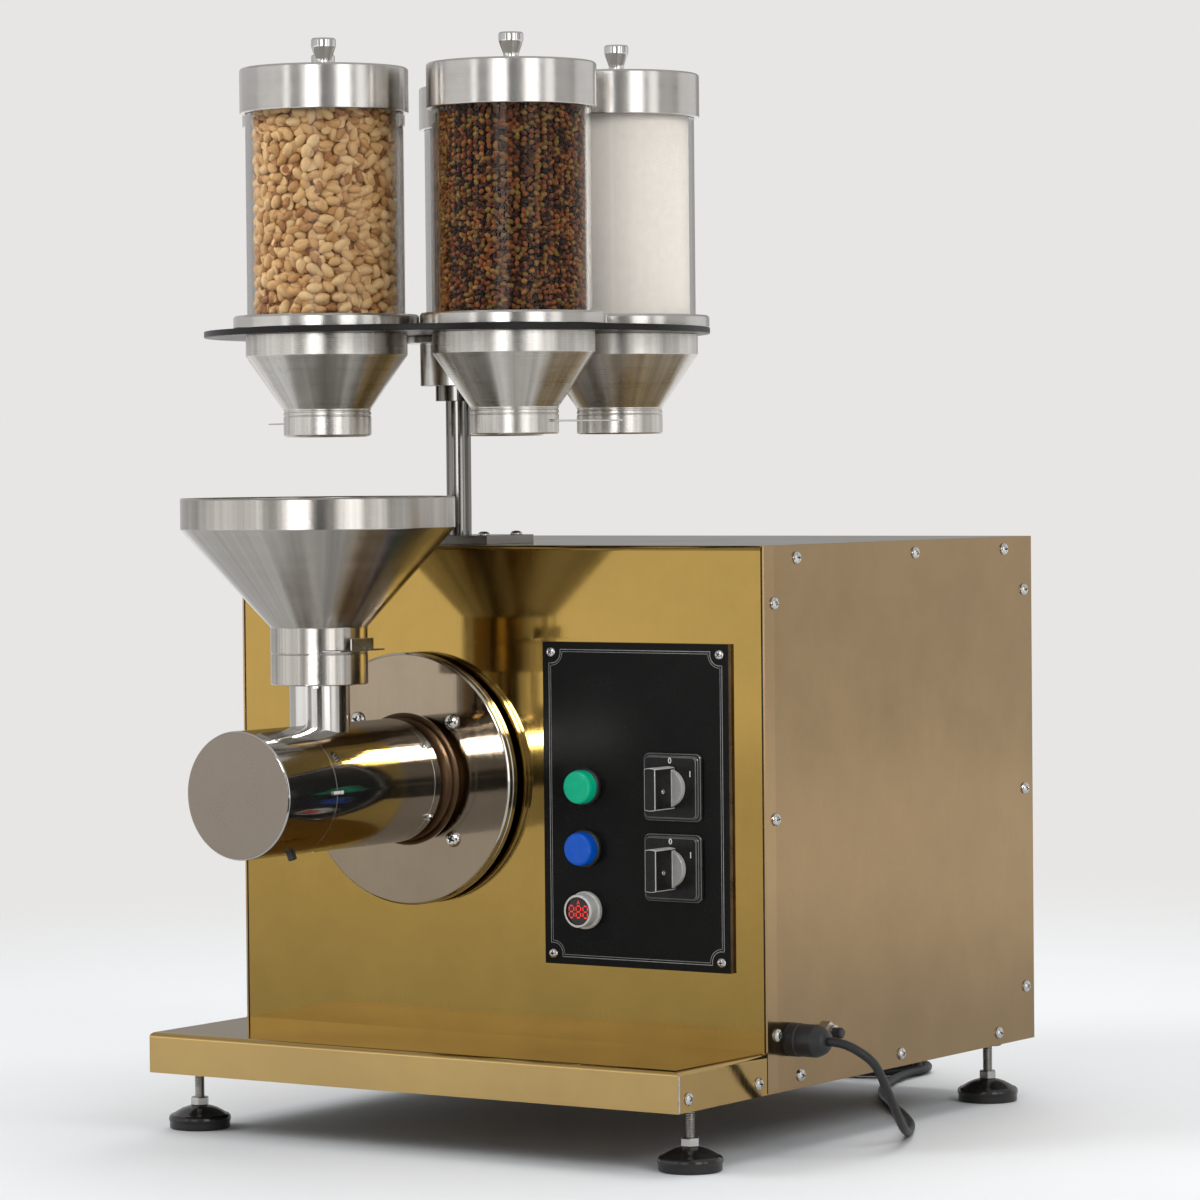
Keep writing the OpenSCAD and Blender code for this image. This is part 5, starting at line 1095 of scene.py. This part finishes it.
# Overload switch: a plated bush with a hex nut and a black button beside the connector, its case inside the
# cover. The button springs out when it is let go.
reset_at = Vector((gland_at.x, *middle_of("overload_button").yz))
coat_node(zinc, "overload_switch")
BUTTON = [(0, -5), (4.25, -5), (4.25, 13.8), (3.2, 15), (0, 15)]
button = lathe("reset_button", BUTTON, reset_at, "X", [black_plastic], steps=40, corner=0.5)
stand_in(button, "overload_button", "black_plastic", "overload_button")


# Cooling fan behind the rear grille: a black plastic frame with struts, screwed on, and a seven-blade rotor.
# It shows through the slots only, so the CAD solids stay and take a finish.
fan_black = finish("fan_black", (0.025, 0.025, 0.026), 0.5, spread=0.2, cloud=40.0, bump=0.2)
coat_node(fan_black, "fan_frame", "fan_rotor")


# Contents: peanuts, mixed brown, green and black seeds, and a white granular filling, heaped to the lids; the
# two containers at the back hold more of the white filling and almonds. Loose nuts and seeds lie over a core
# that is darker than they are: painted shade in the gaps between them.
fills_low, fills_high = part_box("container_fills")
FILL_TALL = (fills_high.z - fills_low.z) / MM
SMALLEST, SLIMMER = 0.78, 0.14


def heap_tree():
    """Geometry Nodes that lay copies of a nut on a surface, turned and tilted at random, each with a tint."""
    tree, given = node_group("heap", Shape="Object", Finish="Material", Spacing="Float", Tilt="Float",
                             Least="Float", Seed="Int")
    spots = add(tree, "GeometryNodeDistributePointsOnFaces", {"distribute_method": "POISSON"},
                Mesh=given["Geometry"], Distance_Min=given["Spacing"], Density_Max=900000.0,
                Seed=given["Seed"])
    lean = add(tree, "FunctionNodeRandomValue", {"data_type": "FLOAT_VECTOR"}, in0=(-1, -1, -4),
               in1=(1, 1, 4), Seed=given["Seed"])
    reach = add(tree, "CombineXYZ", X=given["Tilt"], Y=given["Tilt"], Z=1.0)
    turn = add(tree, "VectorMath", {"operation": "MULTIPLY"}, in0=lean, in1=reach)
    own = add(tree, "FunctionNodeEulerToRotation", Euler=turn)
    aim = add(tree, "FunctionNodeRotateRotation", {"rotation_space": "LOCAL"},
              Rotation=spots.outputs["Rotation"], Rotate_By=own)
    size, tint = [add(tree, "FunctionNodeRandomValue", {"data_type": "FLOAT"}, in2=least, in3=1.0,
                      Seed=given["Seed"]).outputs[1] for least in (given["Least"], 0.0)]
    shape = add(tree, "GeometryNodeObjectInfo", Object=given["Shape"])
    copies = add(tree, "GeometryNodeInstanceOnPoints", Points=spots.outputs["Points"],
                 Instance=shape.outputs["Geometry"], Rotation=aim, Scale=size)
    marked = add(tree, "GeometryNodeStoreNamedAttribute", {"data_type": "FLOAT", "domain": "INSTANCE"},
                 Geometry=copies, Name="tint", Value=tint)
    solid = add(tree, "GeometryNodeRealizeInstances", Geometry=marked)
    painted = add(tree, "GeometryNodeSetMaterial", Geometry=solid, Material=given["Finish"])
    wire(add(tree, "NodeGroupOutput"), in0=painted)
    return tree


heap_nodes = heap_tree()


def seed_mesh(name, half, across, around, split=0.0):
    """A nut or seed: an egg of half sizes in mm, long in X, with one side cut flat where it is split."""
    shape = bmesh.new()
    bmesh.ops.create_uvsphere(shape, u_segments=across, v_segments=around, radius=1,
                              matrix=Matrix.Rotation(math.pi / 2, 4, "Y"))
    for vert in shape.verts:
        x, y, z = vert.co
        slim = 1 - SLIMMER * x
        z = z if z < 0 else z * (1 - split)
        vert.co = Vector((x * half[0], y * slim * half[1], z * slim * half[2])) * MM
    seed = shaped(name, shape)
    seed.data.shade_smooth()
    return seed


def food(name, colours, rough, gloss=0.4, grain=700.0):
    """Nuts or seeds: each one's tint picks its colour from a ramp, with a fine skin."""
    made, tree, shader = new_material(name)
    tint = add(tree, "Attribute", {"attribute_name": "tint"}).outputs["Fac"]
    skin = noise(tree, object_place(tree), grain, 3.0)
    shift = reckon(tree, "MULTIPLY_ADD", skin, 0.3, -0.15)
    ramp = add(tree, "ValToRGB", Fac=reckon(tree, "ADD", tint, shift))
    stops = ramp.color_ramp.elements
    while len(stops) < len(colours):
        stops.new(0.5)
    for stop, (place, colour) in zip(stops, colours):
        stop.position = place
        stop.color = (*colour, 1)
    relief = add(tree, "Bump", Height=skin, Strength=0.25, Distance=0.0006)
    wire(shader, Base_Color=ramp, Normal=relief, Roughness=rough, Specular_IOR_Level=gloss)
    return made


def heap(name, jar, shape, material, radius, spacing, tilt, seed):
    """A layer of nuts or seeds at a radius inside one container, from its floor up to the lid."""
    top = FILL_TALL + 4
    wall = [(0, 3), (radius, 3), (radius, top), (0, top)]
    piece = lathe(name, wall, jar + Z * fills_low.z, "Z", [material], steps=64, corner=0)
    run_nodes(piece, heap_nodes, Shape=shape, Finish=material, Spacing=spacing, Tilt=tilt, Least=SMALLEST,
              Seed=seed)
    return stand_in(piece, "carousel", "nuts_and_seeds", "container_fills")


peanut = seed_mesh("peanut", (6.8, 4.3, 4.0), 10, 7)
peanut_half = seed_mesh("peanut_half", (6.8, 4.3, 4.0), 10, 7, split=0.75)
almond = seed_mesh("almond", (9.5, 5.4, 3.6), 10, 7)
small_seed = seed_mesh("small_seed", (2.6, 2.0, 1.5), 7, 4)
PEANUT_COLOURS = ((0.0, (0.24, 0.09, 0.025)), (0.15, (0.4, 0.2, 0.065)), (0.5, (0.53, 0.31, 0.125)),
                  (1.0, (0.64, 0.43, 0.21)))
ALMOND_COLOURS = ((0.0, (0.12, 0.045, 0.016)), (0.5, (0.24, 0.095, 0.032)), (1.0, (0.36, 0.16, 0.06)))
SEED_COLOURS = ((0.0, (0.008, 0.005, 0.003)), (0.25, (0.035, 0.011, 0.004)), (0.5, (0.13, 0.032, 0.007)),
                (0.72, (0.22, 0.065, 0.013)), (0.88, (0.12, 0.08, 0.012)), (1.0, (0.26, 0.12, 0.03)))
peanut_skin = food("peanut_skin", PEANUT_COLOURS, 0.45, gloss=0.3)
almond_skin = food("almond_skin", ALMOND_COLOURS, 0.5)
seed_skin = food("seed_skin", SEED_COLOURS, 0.35, gloss=0.15)
heap("peanuts", jars[0], peanut, peanut_skin, 52.9, 0.0091, 0.4, 3)
heap("peanut_halves", jars[0], peanut_half, peanut_skin, 53, 0.0105, 0.5, 11)
heap("peanuts_behind", jars[0], peanut, peanut_skin, 50, 0.0075, 0.8, 4)
heap("almonds", jars[4], almond, almond_skin, 53, 0.0112, 0.2, 5)
heap("almonds_behind", jars[4], almond, almond_skin, 50.5, 0.0105, 0.5, 6)
heap("small_seeds", jars[1], small_seed, seed_skin, 55.7, 0.0036, 0.4, 8)
heap("seeds_behind", jars[1], small_seed, seed_skin, 54.6, 0.0036, 0.8, 9)
for nut in (peanut, peanut_half, almond, small_seed):
    bpy.data.objects.remove(nut)
# Cores under the nuts and seeds are darker than the nuts: painted shade between them.
peanut_core_painted_shade = finish("peanut_core_painted_shade", (0.24, 0.11, 0.04), 0.8, spread=0.4, cloud=120.0, grain=500.0, bump=0.6,
                  Specular_IOR_Level=0.1)
core_painted_shade = finish("core_painted_shade", (0.02, 0.008, 0.004), 0.7, spread=0.4, cloud=120.0, grain=500.0, bump=0.6,
                   Specular_IOR_Level=0.0)
white_fill = finish("white_granules", (0.87, 0.815, 0.745), 0.75, spread=0.035, cloud=180.0, grain=1600.0,
                    bump=0.7)
core_top = FILL_TALL + 3
for number, radius, material in ((1, 51, peanut_core_painted_shade), (2, 54, core_painted_shade), (3, 57.4, white_fill),
                                 (4, 57.4, white_fill), (5, 50.5, core_painted_shade)):
    column = [(0, 0.4), (radius, 0.4), (radius, core_top), (radius * 0.5, core_top + 0.2), (0, core_top)]
    core = lathe(f"fill_core_{number}", column, jars[number - 1] + Z * fills_low.z, "Z", [material], steps=96,
                 corner=1)
    stand_in(core, "carousel", "nuts_and_seeds", "container_fills")
